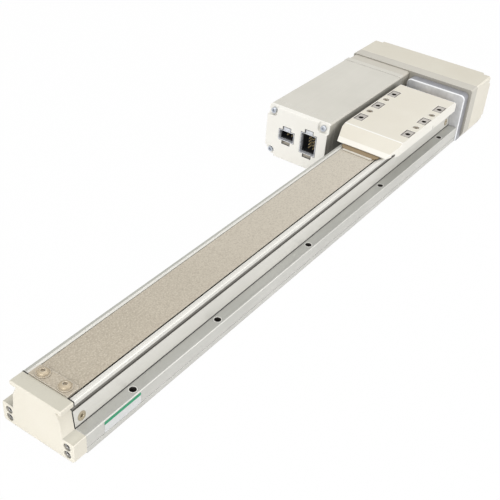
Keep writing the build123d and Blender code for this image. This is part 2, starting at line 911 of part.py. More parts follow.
def table_body():
    """Outside form of the table: sloping nose, bevelled rear, chamfered corners."""
    side_view = [
        (table_flat_front, table_top),
        (table_front + nose_break_length, table_top - nose_break_drop),
        (table_front, table_top - nose_lip_drop),
        (table_front, nose_bottom + nose_edge),
        (table_front + nose_edge, nose_bottom),
        (table_front + nose_wall, nose_bottom),
        (table_front + nose_wall + nose_edge, skirt_bottom),
        (table_rear, skirt_bottom),
        (table_rear, table_top - rear_edge_drop),
        (table_rear - rear_edge_length, table_top - rear_bevel_drop),
        (table_flat_rear, table_top),
    ]
    nose_half = table_half_width - nose_corner_width
    rear_half = table_half_width - rear_corner
    plan = [
        (table_front, -nose_half),
        (table_front + nose_corner_length, -table_half_width),
        (table_rear - rear_corner, -table_half_width),
        (table_rear, -rear_half),
        (table_rear, rear_half),
        (table_rear - rear_corner, table_half_width),
        (table_front + nose_corner_length, table_half_width),
        (table_front, nose_half),
    ]
    form = prism_y(side_view, -table_half_width, table_half_width)
    return form & prism_z(plan, skirt_bottom, table_top)


def table():
    """Cast table with its cavity, skirts, machined pads and their holes."""
    body = table_body()
    body -= block(
        (table_front + nose_wall, table_rear - rear_wall),
        (-skirt_inner, skirt_inner),
        (skirt_bottom, saddle_plate_top),
    )
    rear_slot = (table_rear - rear_wall, table_rear)
    body -= block(rear_slot, (-scraper_half, scraper_half), (skirt_bottom, nose_bottom))
    for x, y in pad_places():
        body -= block(span(x, pad_length), span(y, pad_width), (table_top - pad_depth, table_top))
        radius = pin_radius if x == table_centre else tapped_radius
        body -= rod_z(radius, table_top - tapped_depth, table_top, x, y)
    head = table_screw_head_radius + counterbore_clearance
    for x, y in table_screw_places():
        body -= rod_z(table_screw_shank_radius, saddle_plate_top, table_top, x, y)
        body -= rod_z(head, table_top - table_screw_recess, table_top, x, y)
    notch = span(table_centre + notch_from_centre, notch_width)
    for side in (-1, 1):
        body -= block(notch, side_span(side, skirt_inner, table_half_width),
                      (skirt_bottom, skirt_bottom + notch_height))
    return body


def table_screws():
    """Low head screws that hold the table on the saddle."""
    screw = cap_screw(
        table_screw_head_radius, table_screw_head_height, table_screw_shank_radius, table_screw_length
    )
    seat = table_top - table_screw_recess
    return group(placed(screw, (x, y, seat), (0, 0, 1)) for x, y in table_screw_places())


def scraper(outer, length, cut):
    """Scraper just above the strip, its outer corners cut; a negative length runs towards -X."""
    way = 1 if length > 0 else -1
    plan = [
        (outer, -scraper_half + cut),
        (outer + way * cut, -scraper_half),
        (outer + length, -scraper_half),
        (outer + length, scraper_half),
        (outer + way * cut, scraper_half),
        (outer, scraper_half - cut),
    ]
    return prism_z(plan, body_height + scraper_gap, nose_bottom)


def front_scraper():
    """Scraper under the table's nose."""
    return scraper(table_front - scraper_reach, scraper_reach + nose_wall, scraper_corner)


def rear_scraper():
    """Scraper under the table's rear edge."""
    return scraper(table_rear, -rear_scraper_length, rear_scraper_corner)


def wiper(start, end, half):
    """Pale lip along the outer edge of a scraper."""
    low = body_height + wiper_gap
    return block((start, end), (-half, half), (low, low + wiper_thickness))


def front_wiper():
    """Lip in front of the front scraper."""
    outer = table_front - scraper_reach
    return wiper(outer - wiper_length, outer, scraper_half - scraper_corner)


def rear_wiper():
    """Lip behind the rear scraper."""
    return wiper(table_rear, table_rear + rear_wiper_length, scraper_half - rear_scraper_corner)


def bracket_outline(inset=0.0):
    """Outline of bracket and pulley cover, chamfered along both lower edges."""
    left = bracket_left - inset
    right = -bracket_right + inset
    top = bracket_height - inset
    return [
        (right + bracket_chamfer_width, inset),
        (left - bracket_chamfer_width, inset),
        (left, inset + bracket_chamfer_height),
        (left, top - bracket_top_break),
        (left - bracket_top_break, top),
        (right + bracket_top_break, top),
        (right, top - bracket_top_break),
        (right, inset + bracket_chamfer_height),
    ]


def bracket_screw_places():
    """(y, z) of the screws from the bracket into the end plate."""
    return [(side * bracket_screw_y, height) for side in (-1, 1) for height in bracket_screw_heights]


def motor_bolt_places():
    """(y, z) of the screws from the bracket into the motor flange."""
    return [
        (motor_axis_y + side * motor_bolt_half_spacing, motor_axis_z + rise * motor_bolt_half_spacing)
        for side in (-1, 1)
        for rise in (-1, 1)
    ]


def pulley_cover_corners():
    """(y, z) of the pulley cover's corners with the signs that point outwards."""
    return [
        (bracket_left if side > 0 else -bracket_right, bracket_height if rise > 0 else 0.0, side, rise)
        for side in (-1, 1)
        for rise in (-1, 1)
    ]


def pulley_cover_screw_places():
    """(y, z) of the screws at the pulley cover's corners."""
    inset = pulley_cover_screw_inset
    return [(y - side * inset, z - rise * inset) for y, z, side, rise in pulley_cover_corners()]


def motor_bracket():
    """Plate that joins the body's end plate and the motor flange."""
    plate = prism_x(bracket_outline(), plate_rear, bracket_rear)
    plate -= rod_x(rear_bearing_radius, plate_rear, bracket_rear)
    plate -= rod_x(pilot_radius, plate_rear, bracket_rear, motor_axis_y, motor_axis_z)
    for y, z in bracket_screw_places() + motor_bolt_places():
        plate -= rod_x(bracket_screw_radius, plate_rear, bracket_rear, y, z)
    for y, z in pulley_cover_screw_places():
        plate -= rod_x(pulley_cover_screw_shank, bracket_rear - pulley_cover_screw_grip, bracket_rear, y, z)
    return plate


def bracket_screws():
    """Screws inside the pulley cover, from the bracket into end plate and motor flange."""
    screw = cap_screw(
        bracket_screw_head_radius,
        bracket_screw_head_height,
        bracket_screw_radius,
        bracket_thickness + bracket_screw_grip,
    )
    places = bracket_screw_places() + motor_bolt_places()
    return group(placed(screw, (bracket_rear, y, z), (1, 0, 0)) for y, z in places)


def pulley_cover():
    """Moulded cover over the belt drive, open towards the bracket, with corner notches."""
    notch_floor = cover_rear - pulley_cover_notch_depth
    outside = prism_x(bracket_outline(), bracket_rear, cover_rear)
    outside = chamfer(outside.faces().sort_by(Axis.X)[-1].edges(), pulley_cover_edge)
    roof = cover_rear - pulley_cover_wall
    shell = outside - prism_x(bracket_outline(pulley_cover_wall), bracket_rear, roof)
    for y, z in pulley_cover_screw_places():
        shell += rod_x(pulley_cover_post, bracket_rear, roof, y, z) & outside
    size = 2 * pulley_cover_notch
    for y, z, side, rise in pulley_cover_corners():
        seat = slab_x(
            size + 2 * pulley_cover_wall, size + 2 * pulley_cover_wall, pulley_cover_notch_radius,
            notch_floor - pulley_cover_wall, roof, y, z,
        )
        shell += seat & outside
        shell -= slab_x(size, size, pulley_cover_notch_radius, notch_floor, cover_rear, y, z)
    for y, z in pulley_cover_screw_places():
        shell -= rod_x(pulley_cover_screw_shank, bracket_rear, notch_floor, y, z)
    return shell


def pulley_cover_screws():
    """Screws at the corners of the pulley cover."""
    length = pulley_cover_depth - pulley_cover_notch_depth + pulley_cover_screw_grip
    screw = cap_screw(pulley_cover_screw_head, pulley_cover_screw_head, pulley_cover_screw_shank, length)
    seat = cover_rear - pulley_cover_notch_depth
    return group(placed(screw, (seat, y, z), (1, 0, 0)) for y, z in pulley_cover_screw_places())


def motor_case(inset, start, end):
    """A length of the motor casing: a rectangle chamfered along its two lower edges."""
    half = motor_case_width / 2 - inset
    low = motor_axis_z - motor_case_height / 2 + inset
    high = motor_axis_z + motor_case_height / 2 - inset
    foot = motor_case_foot_chamfer - inset / 2
    top = motor_case_top_break
    offsets = [
        (-half + foot, low),
        (half - foot, low),
        (half, low + foot),
        (half, high - top),
        (half - top, high),
        (-half + top, high),
        (-half, high - top),
        (-half, low + foot),
    ]
    return prism_x([(motor_axis_y + across, z) for across, z in offsets], start, end)


def motor_corners():
    """(y, z) of the motor casing's corners with the signs that point outwards."""
    half_width = motor_case_width / 2
    half_height = motor_case_height / 2
    return [
        (motor_axis_y + side * half_width, motor_axis_z + rise * half_height, side, rise)
        for side in (-1, 1)
        for rise in (-1, 1)
    ]


def motor_screw_places():
    """(y, z) of the screws in the motor end cover."""
    return [
        (y - side * motor_screw_inset_y, z - rise * motor_screw_inset_z)
        for y, z, side, rise in motor_corners()
    ]


def motor_flange():
    """Flange of the motor casing at the bracket, with the pilot bore."""
    plate = motor_case(motor_flange_inset, flange_front, plate_rear)
    plate -= rod_x(pilot_radius, flange_front, plate_rear, motor_axis_y, motor_axis_z)
    for y, z in motor_bolt_places():
        plate -= rod_x(bracket_screw_radius, plate_rear - bracket_screw_grip, plate_rear, y, z)
    return plate


def motor_cover():
    """Sleeve over the motor."""
    sleeve = motor_case(0.0, motor_cover_front, flange_front)
    return sleeve - motor_case(motor_case_wall, motor_cover_front, flange_front)


def motor_ring():
    """Short frame between the sleeve and the end cover, with a boss for each cover screw."""
    end = motor_cover_front - motor_ring_seam
    outside = motor_case(0.0, motor_ring_front, end)
    ring = outside - motor_case(motor_ring_wall, motor_ring_front, end)
    for y, z in motor_screw_places():
        ring += rod_x(motor_boss_radius, motor_ring_front, end, y, z) & outside
    for y, z in motor_screw_places():
        ring -= rod_x(motor_screw_shank, motor_ring_front, end, y, z)
    rim = motor_case(motor_case_wall, end, motor_cover_front + motor_case_wall)
    rim -= motor_case(motor_ring_wall, end, motor_cover_front + motor_case_wall)
    return ring + rim


def motor_end_cover():
    """Moulded end cover with open corner notches and the two connector windows."""
    cover = motor_case(0.0, motor_front, motor_ring_front)
    cover = chamfer(cover.faces().sort_by(Axis.X)[0].edges(), motor_end_edge)
    for y, z, side, rise in motor_corners():
        cover -= slab_x(
            2 * motor_notch_width, 2 * motor_notch_height, motor_notch_radius,
            motor_front, motor_front + motor_notch_depth, y, z,
        )
    for y, z in motor_screw_places():
        cover -= rod_x(motor_screw_shank, motor_front, motor_ring_front, y, z)
    for place in (power_socket, signal_socket):
        cover -= socket_window(place)
        cover -= latch_windows(place)
    return cover


def motor_end_screws():
    """Screws in the corner notches of the motor end cover."""
    screw = cap_screw(motor_screw_head, motor_screw_head_height, motor_screw_shank, motor_screw_length)
    seat = motor_front + motor_notch_depth
    return group(placed(screw, (seat, y, z), (-1, 0, 0)) for y, z in motor_screw_places())


def socket_box(place, inset, start, end):
    """A rectangular length of one connector."""
    y, z, width, height = place
    return block((start, end), span(y, width - 2 * inset), span(z, height - 2 * inset))


def socket_window(place):
    """Opening of the motor end cover for one connector."""
    return socket_box(place, 0.0, motor_front, motor_ring_front)


def latch_spans(place):
    """(z low, z high) of the latch recess above and below one connector."""
    z = place[1]
    near = place[3] / 2
    far = near + latch_height
    return [tuple(sorted((z + side * near, z + side * far))) for side in (-1, 1)]


def latch_windows(place):
    """Recesses above and below one connector where the plug's latch enters."""
    across = span(place[0], latch_width)
    depth = (motor_front, motor_front + latch_setback + latch_thickness)
    return [block(depth, across, heights) for heights in latch_spans(place)]


def socket_shell(place):
    """Metal shell round one connector, with a latch tongue above and below."""
    start = motor_front - shell_proud
    end = board_front - socket_floor
    shell = socket_box(place, 0.0, start, end) - socket_box(place, shell_thickness, start, end)
    tongue_start = motor_front + latch_setback
    for heights in latch_spans(place):
        shell += block((tongue_start, tongue_start + latch_thickness), span(place[0], latch_width), heights)
    return shell


def socket_body(place):
    """Black insulator of one connector with its open cavity and floor."""
    start = motor_front + insulator_setback
    floor = board_front - socket_floor
    body = socket_box(place, shell_thickness, start, board_front)
    return body - socket_box(place, shell_thickness + insulator_wall, start, floor)


def connector_pins(place, rows):
    """Contact pins of one connector, standing on its floor in two columns."""
    y, z, width, height = place
    floor = board_front - socket_floor
    pins = []
    for column in range(pin_columns):
        for row in range(rows):
            across = span(y + (column - (pin_columns - 1) / 2) * pin_pitch_y, pin_size)
            up = span(z + (row - (rows - 1) / 2) * pin_pitch_z, pin_size)
            pins.append(block((floor - pin_length, floor), across, up))
    return group(pins)


def motor_stator():
    """Square motor body with the bore for its rotor."""
    axis = (motor_axis_y, motor_axis_z)
    body = slab_x(stator_size, stator_size, stator_corner, stator_front, flange_front, *axis)
    return body - rod_x(rotor_radius + rotor_air_gap, stator_front, flange_front, *axis)


def motor_bearings():
    """Ball bearings at both ends of the motor."""
    outer = rotor_radius + rotor_air_gap
    inner = shaft_radius + running_clearance
    return group(
        ring_x(outer, inner, start, start + motor_bearing_width, motor_axis_y, motor_axis_z)
        for start in (stator_front, flange_front - motor_bearing_width)
    )


def motor_rotor():
    """Rotor with its shaft, which carries the drive pulley and the encoder disc."""
    core_front = stator_front + motor_bearing_width + rotor_end_gap
    core_rear = flange_front - motor_bearing_width - rotor_end_gap
    core = rod_x(rotor_radius, core_front, core_rear, motor_axis_y, motor_axis_z)
    return core + rod_x(shaft_radius, encoder_front, shaft_end, motor_axis_y, motor_axis_z)


def encoder_disc():
    """Disc on the tail of the motor shaft."""
    end = encoder_front + encoder_thickness
    return ring_x(encoder_radius, shaft_radius, encoder_front, end, motor_axis_y, motor_axis_z)


def encoder_board():
    """Circuit board behind the connectors, held between the sleeve's side walls."""
    width = motor_case_width - 2 * motor_case_wall
    return block((board_front, board_rear), span(motor_axis_y, width), span(motor_axis_z, board_height))


def pulley(y, z, bore):
    """Toothed pulley with a flange on each side."""
    body = rod_x(pulley_radius, pulley_tooth_front, pulley_tooth_rear, y, z)
    for index in range(pulley_teeth):
        angle = 2 * pi * index / pulley_teeth
        across = y + pulley_radius * cos(angle)
        up = z + pulley_radius * sin(angle)
        body -= rod_x(pulley_gap_radius, pulley_tooth_front, pulley_tooth_rear, across, up)
    flange_radius = pulley_radius + pulley_flange_rise
    body += rod_x(flange_radius, pulley_front, pulley_tooth_front, y, z)
    body += rod_x(flange_radius, pulley_tooth_rear, pulley_rear, y, z)
    return body - rod_x(bore, pulley_front, pulley_rear, y, z)


def timing_belt():
    """Endless belt round both pulleys, with teeth on its two straight runs."""
    inner = pulley_radius + belt_clearance
    outer = inner + belt_thickness
    rise = motor_axis_z - screw_axis_height
    centre_distance = hypot(motor_axis_y, rise)
    lean = degrees(atan2(rise, motor_axis_y))
    loop = SlotCenterToCenter(centre_distance, 2 * outer) - SlotCenterToCenter(centre_distance, 2 * inner)
    count = int(centre_distance / belt_tooth_pitch) - 4
    tooth = Rectangle(belt_tooth_width, 2 * belt_tooth_height)
    for index in range(count):
        along = (index - (count - 1) / 2) * belt_tooth_pitch
        loop += [Pos(along, side * inner) * tooth for side in (-1, 1)]
    middle = Pos(motor_axis_y / 2, (motor_axis_z + screw_axis_height) / 2)
    return extrude(Plane.YZ.offset(belt_front) * middle * Rot(0, 0, lean) * loop, belt_width)


def body_parts():
    """Rail, covers, strip and the fixed parts at both ends."""
    left_raceway = raceway()
    left_cover = side_cover()
    return {
        "base_rail": rail(),
        "left_raceway": left_raceway,
        "right_raceway": mirror(left_raceway, about=Plane.XZ),
        "left_side_cover": left_cover,
        "right_side_cover": mirror(left_cover, about=Plane.XZ),
        "side_cover_screws": side_cover_screws(),
        "front_end_cap": front_end_cap(),
        "front_end_cap_screws": front_end_cap_screws(),
        "front_bearing_block": front_bearing_block(),
        "front_bearing": front_bearing(),
        "front_damper": damper(front_block_rear, front_damper_rear),
        "fixed_bearing_housing": fixed_bearing_housing(),
        "fixed_bearings": fixed_bearings(),
        "bearing_cover": bearing_cover(),
        "rear_damper": damper(rear_damper_front, housing_front),
        "rear_end_plate": rear_end_plate(),
        "end_plate_screws": end_plate_screws(),
        "dust_strip": dust_strip(),
        "front_strip_clamp": strip_clamp(True),
        "rear_strip_clamp": strip_clamp(False),
        "strip_clamp_screws": strip_clamp_screws(),
    }


def moving_parts():
    """Screw, carriage, saddle and table."""
    return {
        "ball_screw": ball_screw(),
        "bearing_nut": bearing_nut(),
        "screw_pulley": pulley(0.0, screw_axis_height, pulley_seat_radius),
        "carriage_block": carriage_block(),
        "carriage_end_caps": carriage_end_caps(),
        "carriage_balls": carriage_balls(),
        "ball_nut": ball_nut(),
        "saddle": saddle(),
        "table": table(),
        "table_screws": table_screws(),
        "front_scraper": front_scraper(),
        "rear_scraper": rear_scraper(),
        "front_wiper": front_wiper(),
        "rear_wiper": rear_wiper(),
    }


def motor_parts():
    """Bracket, belt drive, motor and its connectors."""
    return {
        "motor_bracket": motor_bracket(),
        "bracket_screws": bracket_screws(),
        "pulley_cover": pulley_cover(),
        "pulley_cover_screws": pulley_cover_screws(),
        "timing_belt": timing_belt(),
        "motor_flange": motor_flange(),
        "motor_cover": motor_cover(),
        "motor_ring": motor_ring(),
        "motor_end_cover": motor_end_cover(),
        "motor_end_screws": motor_end_screws(),
        "power_socket_shell": socket_shell(power_socket),
        "power_socket": socket_body(power_socket),
        "power_pins": connector_pins(power_socket, power_pin_rows),
        "signal_socket_shell": socket_shell(signal_socket),
        "signal_socket": socket_body(signal_socket),
        "signal_pins": connector_pins(signal_socket, signal_pin_rows),
        "motor_stator": motor_stator(),
        "motor_bearings": motor_bearings(),
        "motor_rotor": motor_rotor(),
        "motor_pulley": pulley(motor_axis_y, motor_axis_z, shaft_radius),
        "encoder_disc": encoder_disc(),
        "encoder_board": encoder_board(),
    }


os.makedirs("parts", exist_ok=True)
all_parts = {**body_parts(), **moving_parts(), **motor_parts()}
for name, shape in all_parts.items():
    export_step(shape, os.path.join("parts", name + ".step"))
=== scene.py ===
"""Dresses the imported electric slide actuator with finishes, fine shapes, a studio and a camera.

Each sub-assembly is a class. Its fields are the sizes in millimetres that it draws with, its build
method makes its pieces, and its dress method gives a finish to every CAD node that stays as it is.
The frame is the CAD one: +X along the stroke to the motor end, +Z up, the motor on the +Y side.
"""

from __future__ import annotations

import json
import logging
import math
from collections.abc import Callable, Iterable, Sequence
from dataclasses import dataclass, fields, replace
from enum import Enum
from functools import cache, cached_property

import bmesh
import bpy
from mathutils import Matrix, Vector

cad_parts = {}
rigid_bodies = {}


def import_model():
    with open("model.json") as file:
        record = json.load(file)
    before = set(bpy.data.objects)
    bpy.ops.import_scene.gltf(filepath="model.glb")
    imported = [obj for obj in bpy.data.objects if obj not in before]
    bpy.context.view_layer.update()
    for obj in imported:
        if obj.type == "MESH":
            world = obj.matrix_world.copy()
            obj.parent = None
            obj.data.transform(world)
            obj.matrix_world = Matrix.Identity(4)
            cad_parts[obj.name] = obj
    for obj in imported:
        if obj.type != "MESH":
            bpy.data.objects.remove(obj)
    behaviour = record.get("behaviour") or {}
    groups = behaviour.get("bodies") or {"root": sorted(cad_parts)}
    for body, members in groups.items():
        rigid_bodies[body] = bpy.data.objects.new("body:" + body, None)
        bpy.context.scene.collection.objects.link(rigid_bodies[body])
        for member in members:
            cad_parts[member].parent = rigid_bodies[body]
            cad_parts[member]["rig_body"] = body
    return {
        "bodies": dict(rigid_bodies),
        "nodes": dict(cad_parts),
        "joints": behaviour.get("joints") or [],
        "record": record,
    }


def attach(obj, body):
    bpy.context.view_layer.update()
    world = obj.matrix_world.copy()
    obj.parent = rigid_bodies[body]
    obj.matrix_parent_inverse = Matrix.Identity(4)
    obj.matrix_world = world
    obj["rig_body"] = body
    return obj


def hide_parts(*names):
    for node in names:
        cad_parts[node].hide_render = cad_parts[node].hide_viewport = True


LOG = logging.getLogger("slide_actuator")
MM = 0.001
FULL_TURN = 2 * math.pi

# Metres within which points are one, in CAD meshes, turned pieces and Geometry Nodes forms
CAD_WELD = 2e-6
TURNED_WELD = 1e-7
FORM_WELD = 1e-6

# Degrees below which faces count as one flat face, and below which corners are shaded smooth
FLAT_BELOW = 0.4
SMOOTH_BELOW = 38.0

# Shares of a face's normal along an axis from which the face counts as looking that way
FACES_UP = 0.9
FACES_ALONG = 0.8

# Shaders: roughness of noise, spans that masks are taken from, scale of the rings of a wave texture
# that gives one ring a metre, how much larger patches of gloss are than the grain, and ray samples
NOISE_ROUGHNESS = 0.55
EDGE_SPAN = (0.99, 0.8)
RECESS_SPAN = (0.95, 0.35)
TINT_SPAN = (0.25, 0.75)
ONE_RING = 0.314
GLOSS_SPREAD = 9
EDGE_SAMPLES = 4
RECESS_SAMPLES = 6

# Ways that screws, pins and balls look
UP = Vector((0.0, 0.0, 1.0))
REAR = Vector((1.0, 0.0, 0.0))
FRONT = Vector((-1.0, 0.0, 0.0))

Tone = tuple[int, int, int]
Colour = tuple[float, float, float]
Point = tuple[float, float, float]
Pair = tuple[float, float]
Outline = Sequence[Pair]
Inputs = dict[str | int, object]
Node = bpy.types.Node
Piece = bpy.types.Object
Shape = bmesh.types.BMesh
Socket = bpy.types.NodeSocket


def linear(tone: Tone) -> Colour:
    """Turns a colour as a screen shows it into the linear one that shaders use.

    Args:
        tone: Red, green and blue from 0 to 255.

    Returns:
        The linear colour, each part from 0 to 1.
    """
    shares = [part / 255 for part in tone]
    return tuple(s / 12.92 if s <= 0.04045 else ((s + 0.055) / 1.055) ** 2.4 for s in shares)


# Node trees


class Graph:
    """A node tree, filled with short calls."""

    def __init__(self, tree: bpy.types.NodeTree) -> None:
        """Holds the nodes and links of a tree."""
        self.nodes = tree.nodes
        self.links = tree.links

    def feed(self, socket: Socket, value: object) -> None:
        """Joins a socket or a flow to an input, or sets the input's number or colour.

        Args:
            socket: The input.
            value: What goes into it.
        """
        source = value.socket if isinstance(value, Flow) else value
        if isinstance(source, Socket):
            self.links.new(source, socket)
        else:
            socket.default_value = (*source, 1.0) if socket.type == "RGBA" else source

    def add(self, kind: str, inputs: Inputs | None = None, **settings: object) -> Node:
        """Adds a node.

        Args:
            kind: The node's type name.
            inputs: Values or sockets by input name or number.
            **settings: Properties of the node.

        Returns:
            The node.
        """
        node = self.nodes.new(kind)
        for key, value in settings.items():
            setattr(node, key, value)
        for key, value in (inputs or {}).items():
            self.feed(node.inputs[key], value)
        return node

    def reckon(self, operation: str, first: object, second: object = 0.0) -> Socket:
        """One step of arithmetic on two numbers or sockets."""
        return self.add("ShaderNodeMath", {0: first, 1: second}, operation=operation).outputs[0]

    def ramp(self, value: object, start: float, end: float, low: float = 0.0, high: float = 1.0) -> Socket:
        """Moves a number from the span start to end to the span low to high, held at its ends."""
        inputs = {0: value, 1: start, 2: end, 3: low, 4: high}
        return self.add("ShaderNodeMapRange", inputs, clamp=True).outputs[0]


# Finishes


class Grain(Enum):
    """How a fine pattern lies. Each value is its stretch along X, Y and Z."""

    EVEN = (1.0, 1.0, 1.0)
    ALONG = (90.0, 1.0, 1.0)


class Shift(Enum):
    """Shifts that keep the random patterns of a finish apart."""

    DRIFT = 0.0
    FINE = 0.37
    GLOSS = 1.9
    PEEL = 3.1
    DIE_LINES = 5.3
    SPECKS = 8.0
    PALE_GRIT = 17.0
    DARK_GRIT = 29.0


class ShaderGraph(Graph):
    """A material's node tree."""

    def __init__(self, name: str) -> None:
        """Starts an empty tree that ends in one principled shader.

        Args:
            name: Name of the material.
        """
        self.material = bpy.data.materials.new(name)
        self.material.use_nodes = True
        super().__init__(self.material.node_tree)
        self.nodes.clear()
        self.shader = self.add("ShaderNodeBsdfPrincipled")
        self.output = self.add("ShaderNodeOutputMaterial", {0: self.shader.outputs[0]})
        self.place = self.add("ShaderNodeTexCoord").outputs["Object"]

    def noise(self, size: float, shift: Shift, grain: Grain = Grain.EVEN, detail: float = 2.0) -> Socket:
        """Soft random pattern on the piece's own place.

        Args:
            size: Size of its spots in millimetres.
            shift: Which of the finish's patterns it is.
            grain: How the spots are stretched.
            detail: How many finer layers it has.

        Returns:
            The pattern's socket, from 0 to 1.
        """
        scale = tuple(1.0 / part for part in grain.value)
        start = (shift.value, shift.value * 0.7, shift.value * 0.3)
        moved = self.add("ShaderNodeMapping", {"Vector": self.place, "Scale": scale, "Location": start})
        inputs = {
            "Vector": moved.outputs[0], "Scale": 1.0 / (size * MM), "Detail": detail,
            "Roughness": NOISE_ROUGHNESS,
        }
        return self.add("ShaderNodeTexNoise", inputs).outputs[0]

    def blend(self, share: object, first: object, second: object, mode: str = "MIX") -> Socket:
        """Mixes two colours by a share from 0 to 1."""
        inputs = {0: share, 6: first, 7: second}
        return self.add("ShaderNodeMix", inputs, data_type="RGBA", blend_type=mode).outputs[2]

    def along(self, axis: int) -> Socket:
        """The place along an axis, 0, 1 or 2 for X, Y or Z."""
        return self.add("ShaderNodeSeparateXYZ", {0: self.place}).outputs[axis]

    def edges(self, reach: float) -> Socket:
        """A mask that is 1 on corners and 0 on open faces.

        Args:
            reach: How far a corner reaches, in millimetres.

        Returns:
            The mask's socket.
        """
        rounded = self.add("ShaderNodeBevel", {"Radius": reach * MM}, samples=EDGE_SAMPLES).outputs[0]
        flat = self.add("ShaderNodeNewGeometry").outputs["Normal"]
        dot = self.add("ShaderNodeVectorMath", {0: rounded, 1: flat}, operation="DOT_PRODUCT")
        return self.ramp(dot.outputs["Value"], *EDGE_SPAN)

    def recess(self, reach: float) -> Socket:
        """A mask that is 1 deep in gaps and corners and 0 this many millimetres from them."""
        shade = self.add("ShaderNodeAmbientOcclusion", {"Distance": reach * MM}, samples=RECESS_SAMPLES)
        return self.ramp(shade.outputs["AO"], *RECESS_SPAN)

    def relief(self, height: Socket, depth: float) -> None:
        """Raises the surface by a pattern, on top of any relief before it.

        Args:
            height: The pattern's socket.
            depth: Its height in millimetres.
        """
        bump = self.add("ShaderNodeBump", {"Height": height, "Distance": depth * MM, "Strength": 1.0})
        normal = self.shader.inputs["Normal"]
        if normal.is_linked:
            self.feed(bump.inputs["Normal"], normal.links[0].from_socket)
        self.feed(normal, bump.outputs[0])


@dataclass(frozen=True)
class Finish:
    """A surface whose colour drifts softly, with fine relief and gloss that varies with it, and with painted
    shade in its gaps and corners and a painted highlight along its corners where these are set.
    """

    name: str
    tone: Tone
    drift: Tone
    drift_size: float = 45.0
    metallic: float = 0.0
    roughness: Pair = (0.42, 0.52)
    grain: Grain = Grain.EVEN
    grain_size: float = 0.5
    grain_depth: float = 0.008
    grain_tint: float = 0.03
    # Painted highlight: the three values below lighten the colour along corners towards a near white.
    edge_light: float = 0.0
    edge_reach: float = 0.35
    edge_colour: Colour = (0.95, 0.94, 0.91)
    # Painted shade: the three values below darken the colour in gaps and corners, found by ambient occlusion.
    grime: float = 0.0
    grime_reach: float = 1.6
    grime_shade: float = 0.32
    coat: float = 0.0
    coat_roughness: float = 0.25
    patches: Pair = (0.3, 0.7)

    def toned(self, name: str, tone: Tone, drift: Tone, **changes: object) -> Finish:
        """The same kind of finish in another colour, with other values where they are named."""
        return replace(self, name=name, tone=tone, drift=drift, **changes)

    def paint(self, graph: ShaderGraph) -> Socket:
        """The colour before edges and grime."""
        share = graph.ramp(graph.noise(self.drift_size, Shift.DRIFT, detail=3.0), *self.patches)
        return graph.blend(share, linear(self.tone), linear(self.drift))

    def tinted(self, graph: ShaderGraph, colour: Socket, pattern: Socket) -> Socket:
        """Lightens and darkens the colour a little along the fine pattern.

        Args:
            graph: The material's tree.
            colour: The colour's socket.
            pattern: The fine pattern's socket.

        Returns:
            The changed colour's socket.
        """
        light = graph.ramp(pattern, *TINT_SPAN, 1.0 - self.grain_tint, 1.0 + self.grain_tint)
        grey = graph.add("ShaderNodeCombineColor", {0: light, 1: light, 2: light}).outputs[0]
        return graph.blend(1.0, colour, grey, "MULTIPLY")

    @cache
    def material(self) -> bpy.types.Material:
        """The finish's material, built when it is first asked for.

        Returns:
            The material.
        """
        graph = ShaderGraph(self.name)
        fine = graph.noise(self.grain_size, Shift.FINE, self.grain, detail=3.0)
        colour = self.tinted(graph, self.paint(graph), fine)
        # Painted shade: the colour darkens in gaps and corners.
        if self.grime:
            shade_share = graph.reckon("MULTIPLY", graph.recess(self.grime_reach), self.grime)
            shaded_colour = tuple(part * self.grime_shade for part in linear(self.tone))
            colour = graph.blend(shade_share, colour, shaded_colour)
        # Painted highlight: the colour turns near white along corners.
        if self.edge_light:
            highlight_share = graph.reckon("MULTIPLY", graph.edges(self.edge_reach), self.edge_light)
            colour = graph.blend(highlight_share, colour, self.edge_colour)
        gloss = graph.noise(self.grain_size * GLOSS_SPREAD, Shift.GLOSS, self.grain)
        surface = {
            "Base Color": colour, "Metallic": self.metallic,
            "Roughness": graph.ramp(gloss, *self.patches, *self.roughness),
            "Coat Weight": self.coat, "Coat Roughness": self.coat_roughness,
        }
        for label, value in surface.items():
            graph.feed(graph.shader.inputs[label], value)
        graph.relief(fine, self.grain_depth)
        self.add_relief(graph)
        return graph.material

    def add_relief(self, graph: ShaderGraph) -> None:
        """Adds a second relief where a finish has one."""


@dataclass(frozen=True)
class Sprayed(Finish):
    """Paint with a second, wider waviness like fine orange peel."""

    peel_size: float = 1.3
    peel_depth: float = 0.012

    def add_relief(self, graph: ShaderGraph) -> None:
        """Adds the peel."""
        graph.relief(graph.noise(self.peel_size, Shift.PEEL, detail=1.0), self.peel_depth)


@dataclass(frozen=True)
class Drawn(Finish):
    """Extruded or drawn metal with faint die lines of two widths."""

    grain: Grain = Grain.ALONG
    grain_size: float = 0.25
    grain_depth: float = 0.004
    line_size: float = 1.6
    line_depth: float = 0.006

    def add_relief(self, graph: ShaderGraph) -> None:
        """Adds the wide die lines."""
        graph.relief(graph.noise(self.line_size, Shift.DIE_LINES, self.grain, 1.0), self.line_depth)


@dataclass(frozen=True)
class Milled(Finish):
    """Machined metal with the arcs that a face mill leaves, wide circles about a centre."""

    centre: Point = (0.0, 0.0, 0.0)
    arc_pitch: float = 0.4
    arc_depth: float = 0.003
    arc_waver: float = 0.6

    def add_relief(self, graph: ShaderGraph) -> None:
        """Adds the arcs.

        Args:
            graph: The material's tree.
        """
        shift = tuple(-part * MM for part in self.centre)
        moved = graph.add("ShaderNodeVectorMath", {0: graph.place, 1: shift}, operation="ADD").outputs[0]
        scale = ONE_RING / (self.arc_pitch * MM)
        inputs = {"Vector": moved, "Scale": scale, "Distortion": self.arc_waver, "Detail": 1.0}
        wave = graph.add("ShaderNodeTexWave", inputs, wave_type="RINGS", rings_direction="SPHERICAL")
        graph.relief(wave.outputs["Fac"], self.arc_depth)


